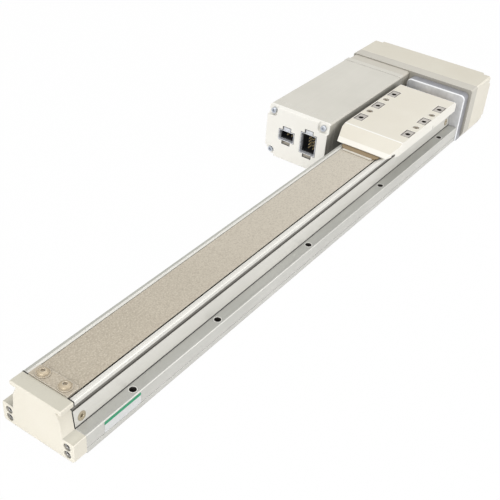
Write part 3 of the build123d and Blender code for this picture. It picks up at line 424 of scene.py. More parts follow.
@dataclass(frozen=True)
class Speckled(Finish):
    """Matte coated strip: pale specks and mottling on a tone that turns paler towards its far end as painted
    sheen.
    """

    speck: Tone = (206, 198, 182)
    speck_size: float = 0.55
    grit_size: float = 1.1
    grit_colour: Colour = (0.22, 0.18, 0.14)
    far_end: Tone = (203, 196, 182)
    near_x: float = -240.0
    far_x: float = 110.0

    def paint(self, graph: ShaderGraph) -> Socket:
        """A tone that turns paler along the strip as painted sheen, with specks.

        Args:
            graph: The material's tree.

        Returns:
            The colour's socket.
        """
        # Painted sheen: the tone turns paler from near_x to far_x.
        along = graph.ramp(graph.along(0), self.near_x * MM, self.far_x * MM)
        tone = graph.blend(along, super().paint(graph), linear(self.far_end))
        patterns = (
            (self.speck_size, Shift.SPECKS, 4.0, (0.56, 0.72, 0.0, 0.45), linear(self.speck)),
            (self.grit_size, Shift.PALE_GRIT, 1.0, (0.5, 0.62, 0.0, 0.5), linear(self.speck)),
            (self.grit_size, Shift.DARK_GRIT, 1.0, (0.5, 0.62, 0.0, 0.24), self.grit_colour),
        )
        for size, shift, detail, span, colour in patterns:
            share = graph.ramp(graph.noise(size, shift, detail=detail), *span)
            tone = graph.blend(share, tone, colour)
        return tone


@dataclass(frozen=True)
class Banded(Finish):
    """Printed film: one plain band of colour above a height, the film's own colour below."""

    band: Tone = (0, 146, 100)
    band_from: float = 10.8
    band_blur: float = 0.05

    def paint(self, graph: ShaderGraph) -> Socket:
        """The film's colour with the band printed on it.

        Args:
            graph: The material's tree.

        Returns:
            The colour's socket.
        """
        low, high = self.band_from - self.band_blur, self.band_from + self.band_blur
        share = graph.ramp(graph.along(2), low * MM, high * MM)
        return graph.blend(share, super().paint(graph), linear(self.band))


# Spans of roughness that several finishes share, from duller to brighter
SATIN = (0.4, 0.5)
SILK = (0.36, 0.46)
GLOSSY = (0.3, 0.4)
POLISHED = (0.2, 0.3)


class Palette:
    """Every finish of the actuator, each with its colour and the one that it drifts to."""

    # In the finishes below, the values that darken gaps and corners set painted shade, and the values that
    # lighten corners set a painted highlight.
    cream_paint = Sprayed(
        "cream_paint", (229, 224, 210), (224, 218, 203), roughness=SILK,
        edge_light=0.8, edge_reach=0.55, grime=0.45,
    )
    # Darker copy of the cream paint for the cap's upward faces: painted shade.
    cap_top = cream_paint.toned(
        "cap_top_paint", (206, 202, 188), (201, 197, 182), edge_light=0.9, edge_reach=0.5
    )
    table_paint = cream_paint.toned(
        "table_paint", (229, 224, 210), (224, 218, 203), edge_light=1.0, edge_reach=1.0
    )
    # Paler copy of the table's paint for its sides and nose lip: painted light.
    table_side = table_paint.toned("table_side_paint", (244, 241, 232), (240, 236, 226))
    # Near-white paint for the band along each crease of the table's top: painted highlight.
    table_crease = Sprayed(
        "table_crease_paint", (250, 249, 245), (247, 246, 241), roughness=GLOSSY, grime=0.2
    )
    cream_plastic = Sprayed(
        "cream_plastic", (231, 226, 212), (226, 220, 205), roughness=SATIN,
        edge_light=0.7, edge_reach=0.5, grime=0.4, peel_size=0.9, peel_depth=0.008,
    )
    # Darker copy of the cream plastic for the pulley cover's upward faces: painted shade.
    pulley_top = cream_plastic.toned(
        "pulley_cover_top", (218, 213, 198), (213, 207, 191), edge_reach=0.35, grime=0.45
    )
    white_plastic = cream_plastic.toned(
        "white_plastic", (248, 246, 239), (245, 242, 234), edge_light=0.0, grime=0.45
    )
    warm_grey = Sprayed(
        "warm_grey_paint", (205, 200, 188), (198, 193, 181), metallic=0.15, roughness=(0.38, 0.48), grime=0.4
    )
    bracket_grey = warm_grey.toned(
        "bracket_grey_paint", (202, 198, 187), (194, 189, 178), metallic=0.12, roughness=SILK, edge_light=0.5
    )
    # Darker grey for the bracket's front face: partly the machined face's own grey, partly painted shade.
    bracket_front = bracket_grey.toned(
        "bracket_front_paint", (172, 168, 158), (164, 160, 150), metallic=0.15, edge_light=1.0, edge_reach=0.8
    )
    rail = Drawn(
        "anodised_rail", (208, 207, 201), (198, 197, 191), metallic=0.35, roughness=(0.34, 0.46),
        grain_tint=0.035, edge_light=0.95, edge_reach=0.45, grime=0.5,
    )
    # Darker copy of the rail's anodising for its ledges: painted shade.
    rail_top = rail.toned(
        "anodised_rail_top", (190, 190, 185), (180, 180, 175), metallic=0.4, grain_tint=0.04
    )
    cover = rail.toned(
        "anodised_cover", (229, 227, 220), (220, 218, 211), metallic=0.2, grain_tint=0.03, grime=0.6
    )
    # Dark grey for the groove under each cover's lip: painted shade.
    groove = Drawn("cover_groove", (136, 133, 126), (128, 125, 118), metallic=0.2, grime=0.9)
    # Darker grey for the outer top of the motor side's lip: painted shade.
    far_lip = Drawn("far_lip_top", (180, 180, 172), (172, 172, 164), metallic=0.2, roughness=SILK, grime=0.5)
    # Its wide darkening of gaps darkens the casing between motor and table: painted shade.
    motor_skin = Drawn(
        "motor_cover_skin", (214, 211, 201), (206, 203, 193), metallic=0.15, roughness=(0.38, 0.48),
        grain_size=0.3, grain_depth=0.003, edge_light=0.7, edge_reach=0.5, grime=0.85, grime_reach=22.0,
    )
    latch = Drawn(
        "lower_latch", (176, 169, 156), (166, 159, 146), metallic=0.4, roughness=GLOSSY,
        grain_size=0.2, grain_depth=0.003,
    )
    shell = latch.toned(
        "socket_shell", (232, 234, 238), (222, 224, 229), metallic=0.3, roughness=(0.24, 0.34)
    )
    contact = latch.toned(
        "contact", (236, 214, 164), (224, 202, 152), metallic=0.45, roughness=POLISHED,
        grain_size=0.15, grain_depth=0.002,
    )
    # The strip's tone turns paler towards the table as painted sheen.
    strip = Speckled(
        "taupe_strip", (179, 169, 151), (171, 161, 143), metallic=0.35, roughness=SATIN,
        grain=Grain.ALONG, grain_size=0.3, grain_depth=0.003,
    )
    clamp = Speckled(
        "clamp_plate", (187, 176, 158), (178, 168, 150), metallic=0.4, roughness=SILK,
        edge_light=0.95, edge_reach=0.5, grime=0.5, speck=(204, 195, 178), far_end=(187, 176, 158),
    )
    bare = Milled(
        "bare_aluminium", (196, 194, 190), (186, 184, 180), metallic=0.85, roughness=(0.28, 0.42),
        edge_light=0.6, grime=0.35, centre=(247.0, 0.0, 150.0), arc_pitch=0.9, arc_depth=0.006,
    )
    plate = bare.toned(
        "end_plate_silver", (224, 225, 228), (206, 207, 210), drift_size=5.0, metallic=0.35,
        edge_light=1.0, edge_reach=0.7,
    )
    # Darker, bluish copy of the plate's metal for its rim: painted shade.
    plate_rim = plate.toned(
        "end_plate_rim", (157, 158, 164), (146, 147, 153), metallic=0.3, roughness=(0.3, 0.42),
        edge_reach=0.8, grime=0.5,
    )
    # Near-white copy of the plate's metal for its rounded edge: painted highlight.
    plate_edge = plate.toned(
        "end_plate_edge", (246, 247, 249), (240, 241, 243), metallic=0.1, roughness=GLOSSY,
        edge_light=0.0, grime=0.1,
    )
    pad = Milled(
        "machined_pad", (192, 187, 180), (182, 177, 170), metallic=0.75, roughness=(0.26, 0.38),
        grime=0.6, centre=(172.0, 0.0, 45.0), arc_pitch=0.55, arc_depth=0.01,
    )
    # Dark metal for hole walls: partly the threads' own darker metal, partly painted shade in the holes.
    hole = Milled(
        "threaded_hole", (74, 70, 66), (62, 58, 54), metallic=0.5, roughness=SATIN, arc_depth=0.006
    )
    # Dark brown for the line at the foot of each pad's wall: painted shade.
    rim = hole.toned("pad_rim", (92, 84, 76), (78, 71, 64), metallic=0.4)
    plated = Milled(
        "bright_screw", (206, 211, 219), (190, 195, 203), metallic=0.75, roughness=(0.22, 0.34), grime=0.6
    )
    gilt = plated.toned(
        "warm_plated_screw", (196, 184, 160), (182, 170, 146), metallic=0.6, roughness=(0.24, 0.36), grime=0.5
    )
    dull_screw = plated.toned("dull_screw", (158, 148, 132), (146, 136, 120), roughness=GLOSSY, grime=0.7)
    clamp_screw = plated.toned(
        "clamp_screw", (190, 176, 152), (178, 164, 140), metallic=0.35, roughness=SATIN,
        edge_light=0.8, edge_reach=0.4, grime=0.7,
    )
    end_screw = plated.toned(
        "end_cap_screw", (168, 167, 166), (150, 149, 148), metallic=0.7, roughness=GLOSSY, grime=0.8
    )
    steel = Milled(
        "hardened_steel", (170, 171, 173), (160, 161, 163), metallic=1.0, roughness=POLISHED,
        grime=0.3, arc_pitch=0.5,
    )
    dark_steel = Milled(
        "dark_steel", (92, 92, 94), (80, 80, 82), metallic=0.9, roughness=(0.34, 0.44),
        arc_pitch=0.5, arc_depth=0.006,
    )
    bright_cut = Milled(
        "bright_cut", (240, 239, 235), (232, 231, 226), metallic=0.25, roughness=GLOSSY, arc_depth=0.002
    )
    scraper = Sprayed(
        "brown_scraper", (150, 130, 98), (140, 120, 90), roughness=(0.5, 0.6), peel_size=0.8, grime=0.3
    )
    lip = Sprayed("white_lip", (226, 221, 210), (216, 211, 200), roughness=(0.45, 0.55), peel_size=0.7)
    black_plastic = Sprayed(
        "black_plastic", (38, 38, 40), (30, 30, 32), roughness=SATIN, peel_size=0.6, peel_depth=0.006
    )
    board = Sprayed(
        "green_board", (40, 92, 62), (34, 80, 54), roughness=(0.35, 0.45), coat=0.4, peel_size=0.7
    )
    rubber = Sprayed("rubber", (42, 41, 40), (34, 33, 32), roughness=(0.6, 0.72), peel_size=0.5)
    # Near black for the band at the cap's joint, painted shade of the joint's gap, and for the socket
    # windows' liners.
    gasket = rubber.toned("gasket_rubber", (26, 25, 24), (20, 19, 18), roughness=(0.7, 0.8))
    # Dark grey for the line along each cover's foot: painted shade of the gap there.
    seam = rubber.toned("dark_seam", (52, 50, 47), (44, 42, 40), roughness=(0.6, 0.7))
    film = Banded(
        "label_film", (220, 221, 220), (215, 216, 215), roughness=SATIN, coat=0.05, grain_depth=0.002
    )


# Meshes


def object_of(shape: Shape, name: str) -> Piece:
    """Turns a mesh under construction into an object of the scene.

    Args:
        shape: The mesh, which is freed.
        name: Name of the object.

    Returns:
        The object, at the origin, with its place in its mesh.
    """
    mesh = bpy.data.meshes.new(name)
    shape.normal_update()
    shape.to_mesh(mesh)
    shape.free()
    return object_from(mesh, name)


def object_from(mesh: bpy.types.Mesh, name: str) -> Piece:
    """Puts a finished mesh into the scene, smooth except at its sharp corners.

    Args:
        mesh: The mesh.
        name: Name of the object.

    Returns:
        The object.
    """
    mesh.polygons.foreach_set("use_smooth", [True] * len(mesh.polygons))
    mesh.set_sharp_from_angle(angle=math.radians(SMOOTH_BELOW))
    piece = bpy.data.objects.new(name, mesh)
    bpy.context.scene.collection.objects.link(piece)
    return piece


def evaluated(piece: Piece) -> bpy.types.Mesh:
    """What a piece's modifiers make of it, as a plain mesh. The modifiers are removed.

    Args:
        piece: The piece.

    Returns:
        The new mesh.
    """
    bpy.context.view_layer.update()
    depsgraph = bpy.context.evaluated_depsgraph_get()
    mesh = bpy.data.meshes.new_from_object(piece.evaluated_get(depsgraph), depsgraph=depsgraph)
    piece.modifiers.clear()
    return mesh


def evened(piece: Piece) -> Piece:
    """Keeps wide faces flat in shading where they meet narrow rounded ones.

    Args:
        piece: The piece.

    Returns:
        The same piece with a new mesh.
    """
    even = piece.modifiers.new("even", "WEIGHTED_NORMAL")
    even.mode = "FACE_AREA"
    even.weight = 60
    even.keep_sharp = True
    old = piece.data
    piece.data = evaluated(piece)
    bpy.data.meshes.remove(old)
    piece.data.name = piece.name
    return piece


def merged(node: Piece) -> Shape:
    """A copy of a CAD node's mesh with its doubles merged.

    Args:
        node: The CAD node.

    Returns:
        The copy.
    """
    shape = bmesh.new()
    shape.from_mesh(node.data)
    bmesh.ops.remove_doubles(shape, verts=shape.verts[:], dist=CAD_WELD)
    return shape


def soften(shape: Shape, width: float, corner: float = 30.0, steps: int = 2) -> None:
    """Rounds the outside corners of a mesh.

    Args:
        shape: The mesh.
        width: Width of the rounding in millimetres.
        corner: Only corners sharper than this many degrees are rounded.
        steps: Faces across the rounding.
    """
    limit = math.radians(corner)
    picked = [e for e in shape.edges if len(e.link_faces) == 2 and e.calc_face_angle_signed(0.0) > limit]
    bmesh.ops.bevel(
        shape, geom=picked, offset=width * MM, offset_type="OFFSET", segments=steps, profile=0.5,
        affect="EDGES", clamp_overlap=False, loop_slide=True, miter_outer="SHARP", material=-1,
    )


def skinned(rows: Sequence[Sequence[Point]], closed: bool = False, weld: float = 0.0) -> Shape:
    """A closed mesh over rows of points that lie round it.

    Args:
        rows: Points in millimetres, as many in each row.
        closed: Whether the last row joins the first again, as round a hole. Else both ends get a face.
        weld: Metres within which points become one.

    Returns:
        The mesh in metres, faces outwards.
    """
    shape = bmesh.new()
    rings = [[shape.verts.new([part * MM for part in point]) for point in row] for row in rows]
    count = len(rings[0])
    for near, far in zip(rings, rings[1:] + rings[:1] * closed):
        for i in range(count):
            j = (i + 1) % count
            shape.faces.new((near[i], near[j], far[j], far[i]))
    if not closed:
        shape.faces.new(rings[0][::-1])
        shape.faces.new(rings[-1])
    if weld:
        bmesh.ops.remove_doubles(shape, verts=shape.verts[:], dist=weld)
    bmesh.ops.recalc_face_normals(shape, faces=shape.faces[:])
    return shape


def prism(outline: Outline, axis: int, start: float, end: float, hole: Outline = ()) -> Shape:
    """A closed bar with a flat outline, run along one axis.

    Args:
        outline: Points in millimetres on the two other axes, in their order X, Y, Z.
        axis: 0, 1 or 2 for X, Y or Z.
        start: Where it starts, in millimetres.
        end: Where it ends.
        hole: Outline of a hole along it, with as many points, or nothing.

    Returns:
        The mesh in metres.
    """
    rows = [(outline, start), (outline, end)] + ([(hole, end), (hole, start)] if hole else [])
    return skinned([[(*p[:axis], place, *p[axis:]) for p in line] for line, place in rows], bool(hole))


def lathe(profile: Outline, centre: Pair, steps: int = 32) -> Shape:
    """A turned piece about a line along X.

    Args:
        profile: (x, radius) points in millimetres from one end to the other.
        centre: (y, z) of the line in millimetres.
        steps: Faces round it.

    Returns:
        The closed mesh in metres.
    """
    turns = [FULL_TURN * step / steps for step in range(steps)]
    rows = [
        [(x, centre[0] + radius * math.cos(turn), centre[1] + radius * math.sin(turn)) for turn in turns]
        for x, radius in profile
    ]
    return skinned(rows, weld=TURNED_WELD)


def rectangle(centre: Pair, half: Pair) -> Outline:
    """Corners of a rectangle from its centre and its half sizes, in millimetres."""
    corners = ((-1, -1), (1, -1), (1, 1), (-1, 1))
    return [(centre[0] + across * half[0], centre[1] + up * half[1]) for across, up in corners]


def rounded_outline(low: Pair, high: Pair, radius: float, steps: int = 6) -> Outline:
    """Outline of a rectangle with rounded corners, in millimetres.

    Args:
        low: Its lower corner.
        high: Its upper corner.
        radius: Radius of its corners.
        steps: Lines round a corner.

    Returns:
        The points.
    """
    left, right = low[0] + radius, high[0] - radius
    bottom, top = low[1] + radius, high[1] - radius
    points = []
    for number, (across, up) in enumerate(((right, top), (left, top), (left, bottom), (right, bottom))):
        for step in range(steps + 1):
            angle = math.radians(90.0 * number + 90.0 * step / steps)
            points.append((across + radius * math.cos(angle), up + radius * math.sin(angle)))
    return points


def joined(shapes: Iterable[Shape]) -> Shape:
    """Several meshes as one.

    Args:
        shapes: The meshes, which are freed.

    Returns:
        The one mesh.
    """
    whole = bmesh.new()
    for shape in shapes:
        part = bpy.data.meshes.new("part")
        shape.to_mesh(part)
        shape.free()
        whole.from_mesh(part)
        bpy.data.meshes.remove(part)
    return whole


def islands(node: Piece) -> list[list[Vector]]:
    """The points of each separate solid of a CAD node.

    Args:
        node: The CAD node.

    Returns:
        A list of points in metres for each solid.
    """
    shape = merged(node)
    found: list[list[Vector]] = []
    seen: set[bmesh.types.BMVert] = set()
    for start in shape.verts:
        if start in seen:
            continue
        stack, part = [start], []
        seen.add(start)
        while stack:
            vert = stack.pop()
            part.append(vert.co.copy())
            for edge in vert.link_edges:
                other = edge.other_vert(vert)
                if other not in seen:
                    seen.add(other)
                    stack.append(other)
        found.append(part)
    shape.free()
    return found


# Geometry Nodes


class Flow:
    """A number in a Geometry Nodes tree. Plain arithmetic on it adds Math nodes."""

    def __init__(self, tree: ShapeTree, socket: Socket) -> None:
        """Holds a socket of a tree."""
        self.tree = tree
        self.socket = socket

    def __add__(self, other: Flow | float) -> Flow:
        """Sum."""
        return self.tree.math("ADD", self, other)

    def __sub__(self, other: Flow | float) -> Flow:
        """Difference."""
        return self.tree.math("SUBTRACT", self, other)

    def __mul__(self, other: Flow | float) -> Flow:
        """Product."""
        return self.tree.math("MULTIPLY", self, other)

    def __truediv__(self, other: Flow | float) -> Flow:
        """Quotient."""
        return self.tree.math("DIVIDE", self, other)

    def __neg__(self) -> Flow:
        """The number with its sign turned."""
        return self.tree.math("MULTIPLY", self, -1.0)


Row = tuple[Flow | float, ...]


class ShapeTree(Graph):
    """A Geometry Nodes tree with named inputs, put together with short calls."""

    def __init__(self, name: str, sizes: dict[str, float | int]) -> None:
        """Makes the tree's inputs.

        Args:
            name: Name of the tree.
            sizes: Its inputs in metres or plain numbers, with what they are at first.
        """
        self.group = bpy.data.node_groups.new(name, "GeometryNodeTree")
        super().__init__(self.group)
        sockets = self.group.interface
        for way in ("INPUT", "OUTPUT"):
            sockets.new_socket("Geometry", in_out=way, socket_type="NodeSocketGeometry")
        for label, value in sizes.items():
            kind = "NodeSocketInt" if isinstance(value, int) else "NodeSocketFloat"
            sockets.new_socket(label, in_out="INPUT", socket_type=kind).default_value = value
        sockets.new_socket("Finish", in_out="INPUT", socket_type="NodeSocketMaterial")
        self.source = self.add("NodeGroupInput")
        self.sink = self.add("NodeGroupOutput")

    def size(self, label: str) -> Flow:
        """A named input as a flow."""
        return Flow(self, self.source.outputs[label])

    def math(self, operation: str, first: Flow | float, second: Flow | float = 0.0) -> Flow:
        """One step of arithmetic."""
        return Flow(self, self.reckon(operation, first, second))

    def pick(self, number: Flow, values: Sequence[Flow | float]) -> Flow:
        """The value that stands at a whole number's place in a list.

        Args:
            number: The whole number.
            values: The list.

        Returns:
            The value.
        """
        node = self.add("GeometryNodeIndexSwitch", data_type="FLOAT")
        while len(node.index_switch_items) < len(values):
            node.index_switch_items.new()
        for socket, value in zip(node.inputs, (number, *values)):
            self.feed(socket, value)
        return Flow(self, node.outputs[0])

    def grid_places(self, across: Flow, rows: Flow | int) -> tuple[Socket, Flow, Flow]:
        """A grid and the whole-number place of each of its points.

        Args:
            across: Faces across the grid.
            rows: Rows of points along it.

        Returns:
            The grid's geometry, each point's column and each point's row.
        """
        along = rows - 1
        inputs = {"Size X": across, "Size Y": along, "Vertices X": across + 1, "Vertices Y": rows}
        grid = self.add("GeometryNodeMeshGrid", inputs)
        place = self.add("ShaderNodeSeparateXYZ", {0: self.add("GeometryNodeInputPosition").outputs[0]})
        column = self.math("ROUND", Flow(self, place.outputs[0]) + across * 0.5)
        row = self.math("ROUND", Flow(self, place.outputs[1]) + along * 0.5)
        return grid.outputs[0], column, row

    def placed(self, geometry: Socket, x: Flow, y: Flow, z: Flow) -> Socket:
        """Moves the points of a geometry to new places and closes its seam and poles.

        Args:
            geometry: The geometry.
            x: Each point's new place along X.
            y: Each point's new place along Y.
            z: Each point's new place along Z.

        Returns:
            The closed geometry.
        """
        spot = self.add("ShaderNodeCombineXYZ", {0: x, 1: y, 2: z}).outputs[0]
        moved = self.add("GeometryNodeSetPosition", {"Geometry": geometry, "Position": spot}).outputs[0]
        return self.add("GeometryNodeMergeByDistance", {"Geometry": moved, "Distance": FORM_WELD}).outputs[0]

    def turned(self, rows: Sequence[Row]) -> Socket:
        """A turned form about Z.

        Args:
            rows: The form from its lower pole to its upper one, each row its radius, its depth below
                the top and, where it has one, its share of a hexagon.

        Returns:
            The form's geometry.
        """
        grid, column, row = self.grid_places(self.size("Steps Round"), len(rows))
        radius, depth, share = (self.pick(row, [(*line, 0.0)[part] for line in rows]) for part in range(3))
        angle = column / self.size("Steps Round") * FULL_TURN
        part = self.math("FLOORED_MODULO", angle, FULL_TURN / 6) - FULL_TURN / 12
        hexagon = self.math("DIVIDE", 1.0, self.math("COSINE", part))
        reach = radius * (share * (hexagon - 1.0) + 1.0)
        return self.placed(grid, reach * self.math("COSINE", angle), reach * self.math("SINE", angle), -depth)

    def finished(self, form: Socket) -> ShapeTree:
        """Sets a form on every point and ends the tree in real geometry with its finish.

        The form's Z lies along the point's axis, and the form is turned about it at random.

        Args:
            form: The form's geometry.

        Returns:
            The tree.
        """
        axis = self.add("GeometryNodeInputNamedAttribute", {"Name": "axis"}, data_type="FLOAT_VECTOR")
        aligned = self.add("FunctionNodeAlignRotationToVector", {"Vector": axis.outputs[0]}, axis="Z")
        dice = self.add("FunctionNodeRandomValue", data_type="FLOAT")
        values = {"Min_001": 0.0, "Max_001": FULL_TURN, "Seed": self.size("Seed")}
        for item in dice.inputs:
            if item.identifier in values:
                self.feed(item, values[item.identifier])
        turn = next(item for item in dice.outputs if item.identifier == "Value_001")
        spin = self.math("MULTIPLY", turn, self.size("Random Turn"))
        about = self.add("FunctionNodeAxisAngleToRotation", {"Axis": UP, "Angle": spin})
        inputs = {0: aligned.outputs[0], 1: about.outputs[0]}
        whole = self.add("FunctionNodeRotateRotation", inputs, rotation_space="LOCAL").outputs[0]
        inputs = {"Points": self.source.outputs["Geometry"], "Instance": form, "Rotation": whole}
        placed = self.add("GeometryNodeInstanceOnPoints", inputs).outputs[0]
        real = self.add("GeometryNodeRealizeInstances", {"Geometry": placed}).outputs[0]
        inputs = {"Geometry": real, "Material": self.source.outputs["Finish"]}
        self.feed(self.sink.inputs[0], self.add("GeometryNodeSetMaterial", inputs).outputs[0])
        return self

    def run(
        self, name: str, points: Sequence[Vector], axes: Sequence[Vector], values: dict[str, object]
    ) -> Piece:
        """Runs the tree on points and keeps the result as a plain mesh.

        Args:
            name: Name of the new piece.
            points: Where the forms stand, in metres.
            axes: The way each form looks.
            values: What the named inputs are set to.

        Returns:
            The piece.
        """
        mesh = bpy.data.meshes.new(name)
        mesh.from_pydata([tuple(point) for point in points], [], [])
        ways = mesh.attributes.new("axis", "FLOAT_VECTOR", "POINT")
        ways.data.foreach_set("vector", [part for axis in axes for part in axis])
        holder = bpy.data.objects.new(name, mesh)
        bpy.context.scene.collection.objects.link(holder)
        modifier = holder.modifiers.new("shape", "NODES")
        modifier.node_group = self.group
        for item in self.group.interface.items_tree:
            if item.item_type == "SOCKET" and item.in_out == "INPUT" and item.name in values:
                modifier[item.identifier] = values[item.name]
        made = evaluated(holder)
        bpy.data.objects.remove(holder)
        bpy.data.meshes.remove(mesh)
        shape = bmesh.new()
        shape.from_mesh(made)
        bmesh.ops.recalc_face_normals(shape, faces=shape.faces[:])
        shape.to_mesh(made)
        shape.free()
        made.name = name
        return object_from(made, name)


class HeadKind(Enum):
    """Shoulders of a screw head: shares of its radius and of its height below the top."""

    CAP = ((1.0, 1.0), (1.0, 0.6), (1.0, 0.14), (0.92, 0.0))
    BUTTON = ((1.0, 1.0), (0.985, 0.72), (0.87, 0.33), (0.62, 0.05))
    COUNTERSUNK = ((0.48, 1.0), (0.97, 0.12), (1.0, 0.05), (0.97, 0.0))


class Trees:
    """The Geometry Nodes trees that the sub-assemblies share, each built once."""

    @cached_property
    def screws(self) -> ShapeTree:
        """Socket screws: shank, washer, shouldered head and hexagon socket.

        Returns:
            The tree.
        """
        shoulders = [f"Shoulder {number}" for number in range(1, 5)]
        tree = ShapeTree("socket_screws", {
            "Length": 0.01, "Shank Radius": 0.00125, "Washer Radius": 0.002, "Washer Thickness": 0.0,
            "Head Radius": 0.0023, "Head Height": 0.0024, "Socket Radius": 0.001, "Socket Depth": 0.0012,
            **{f"{shoulder} {part}": 1.0 for shoulder in shoulders for part in ("Radius", "Depth")},
            "Random Turn": 1.0, "Steps Round": 24, "Seed": 1,
        })
        shank, head, height = (tree.size(label) for label in ("Shank Radius", "Head Radius", "Head Height"))
        washer, thickness = tree.size("Washer Radius"), tree.size("Washer Thickness")
        length, socket, depth = (tree.size(label) for label in ("Length", "Socket Radius", "Socket Depth"))
        under = height + thickness
        return tree.finished(tree.turned([
            (0.0, length),
            (shank * 0.75, length),
            (shank, length - shank * 0.35),
            (shank, under),
            (washer * 0.97, under),
            (washer, under - thickness * 0.25),
            (washer, height + thickness * 0.25),
            (washer * 0.97, height),
            *((head * tree.size(f"{one} Radius"), height * tree.size(f"{one} Depth")) for one in shoulders),
            (socket * 1.22, 0.0),
            (socket, socket * 0.18, 1.0),
            (socket, depth, 1.0),
            (0.0, depth + socket * 0.4),
        ]))

    @cached_property
    def rings(self) -> ShapeTree:
        """Flat machined rings with a sloped inner edge.

        Returns:
            The tree.
        """
        tree = ShapeTree("machined_rings", {
            "Inner Radius": 0.002, "Outer Radius": 0.003, "Rise": 0.00005, "Lead In": 0.0002, "Sink": 0.0004,
            "Random Turn": 0.0, "Steps Round": 36, "Seed": 1,
        })
        inner, outer, rise = (tree.size(label) for label in ("Inner Radius", "Outer Radius", "Rise"))
        lead, sink = tree.size("Lead In"), tree.size("Sink")
        return tree.finished(tree.turned([
            (inner, sink), (outer, sink), (outer, 0.0), (outer - rise, -rise), (inner + lead, -rise),
            (inner, lead), (inner, sink),
        ]))

    @cached_property
    def pins(self) -> ShapeTree:
        """Contact pins with four sides and a tapered tip.

        Returns:
            The tree.
        """
        tree = ShapeTree("contact_pins", {
            "Width": 0.0008, "Length": 0.006, "Tip": 0.0012, "Random Turn": 0.0, "Steps Round": 4, "Seed": 1,
        })
        corner, length, tip = tree.size("Width") * math.sqrt(0.5), tree.size("Length"), tree.size("Tip")
        form = tree.turned([
            (0.0, length), (corner, length), (corner, tip), (corner * 0.8, tip * 0.4), (corner * 0.4, 0.0),
            (0.0, 0.0),
        ])
        square = {"Geometry": form, "Rotation": (0.0, 0.0, FULL_TURN / 8)}
        return tree.finished(tree.add("GeometryNodeTransform", square).outputs[0])

    @cached_property
    def balls(self) -> ShapeTree:
        """Bearing balls.

        Returns:
            The tree.
        """
        tree = ShapeTree("bearing_balls", {
            "Radius": 0.0012, "Random Turn": 1.0, "Steps Round": 20, "Rings": 12, "Seed": 1,
        })
        sources = {"Segments": "Steps Round", "Rings": "Rings", "Radius": "Radius"}
        inputs = {label: tree.size(source) for label, source in sources.items()}
        return tree.finished(tree.add("GeometryNodeMeshUVSphere", inputs).outputs[0])

    @cached_property
    def thread(self) -> ShapeTree:
        """Helical groove of a ball screw, which runs along the point's axis.

        Returns:
            The tree.
        """
        tree = ShapeTree("screw_thread", {
            "Radius": 0.005, "Groove Depth": 0.0008, "Groove Share": 0.42, "Lead": 0.01, "Length": 0.4,
            "Random Turn": 0.0, "Steps Round": 24, "Steps Along": 500, "Seed": 1,
        })
        size = tree.size
        along = size("Steps Along")
        grid, column, row = tree.grid_places(size("Steps Round"), along)
        last = along - 3.0
        inner = tree.math("MINIMUM", tree.math("MAXIMUM", row - 1.0, 0.0), last)
        z = inner / last * size("Length")
        share = column / size("Steps Round")
        phase = tree.math("FLOORED_MODULO", z / size("Lead") - share, 1.0)
        offset = (phase - 0.5) / (size("Groove Share") * 0.5)
        curve = tree.math("SQRT", tree.math("MAXIMUM", -(offset * offset) + 1.0, 0.0))
        at_pole = tree.math("COMPARE", row, 0.0) + tree.math("COMPARE", row, along - 1.0)
        reach = (size("Radius") - curve * size("Groove Depth")) * (-at_pole + 1.0)
        angle = share * FULL_TURN
        x, y = reach * tree.math("COSINE", angle), reach * tree.math("SINE", angle)
        return tree.finished(tree.placed(grid, x, y, z))


# The bench where pieces get their finish and body


@dataclass(frozen=True)
class ScrewKind:
    """A kind of screw. Its sizes are in millimetres, each named like an input of the screws' tree."""

    kind: HeadKind
    head_radius: float
    head_height: float
    shank_radius: float
    socket_radius: float
    socket_depth: float
    washer_radius: float = 0.0
    washer_thickness: float = 0.0
    finish: Finish = Palette.plated
    seed: int = 1

    def values(self, length: float) -> dict[str, float | int]:
        """The values of the named inputs of the screws' tree.

        Args:
            length: Whole length in metres.

        Returns:
            Each input's value, lengths in metres.
        """
        sizes = [size.name for size in fields(self) if size.type == "float"]
        values = {size.replace("_", " ").title(): getattr(self, size) * MM for size in sizes}
        values["Washer Radius"] = values["Washer Radius"] or values["Shank Radius"]
        for number, (radius, depth) in enumerate(self.kind.value, start=1):
            values[f"Shoulder {number} Radius"] = radius
            values[f"Shoulder {number} Depth"] = depth
        return {**values, "Length": length, "Seed": self.seed}


@dataclass(frozen=True)
class Zone:
    """Faces of a piece that have a finish of their own, told by their centre in mm and normal."""

    finish: Finish
    holds: Callable[[Vector, Vector], bool]


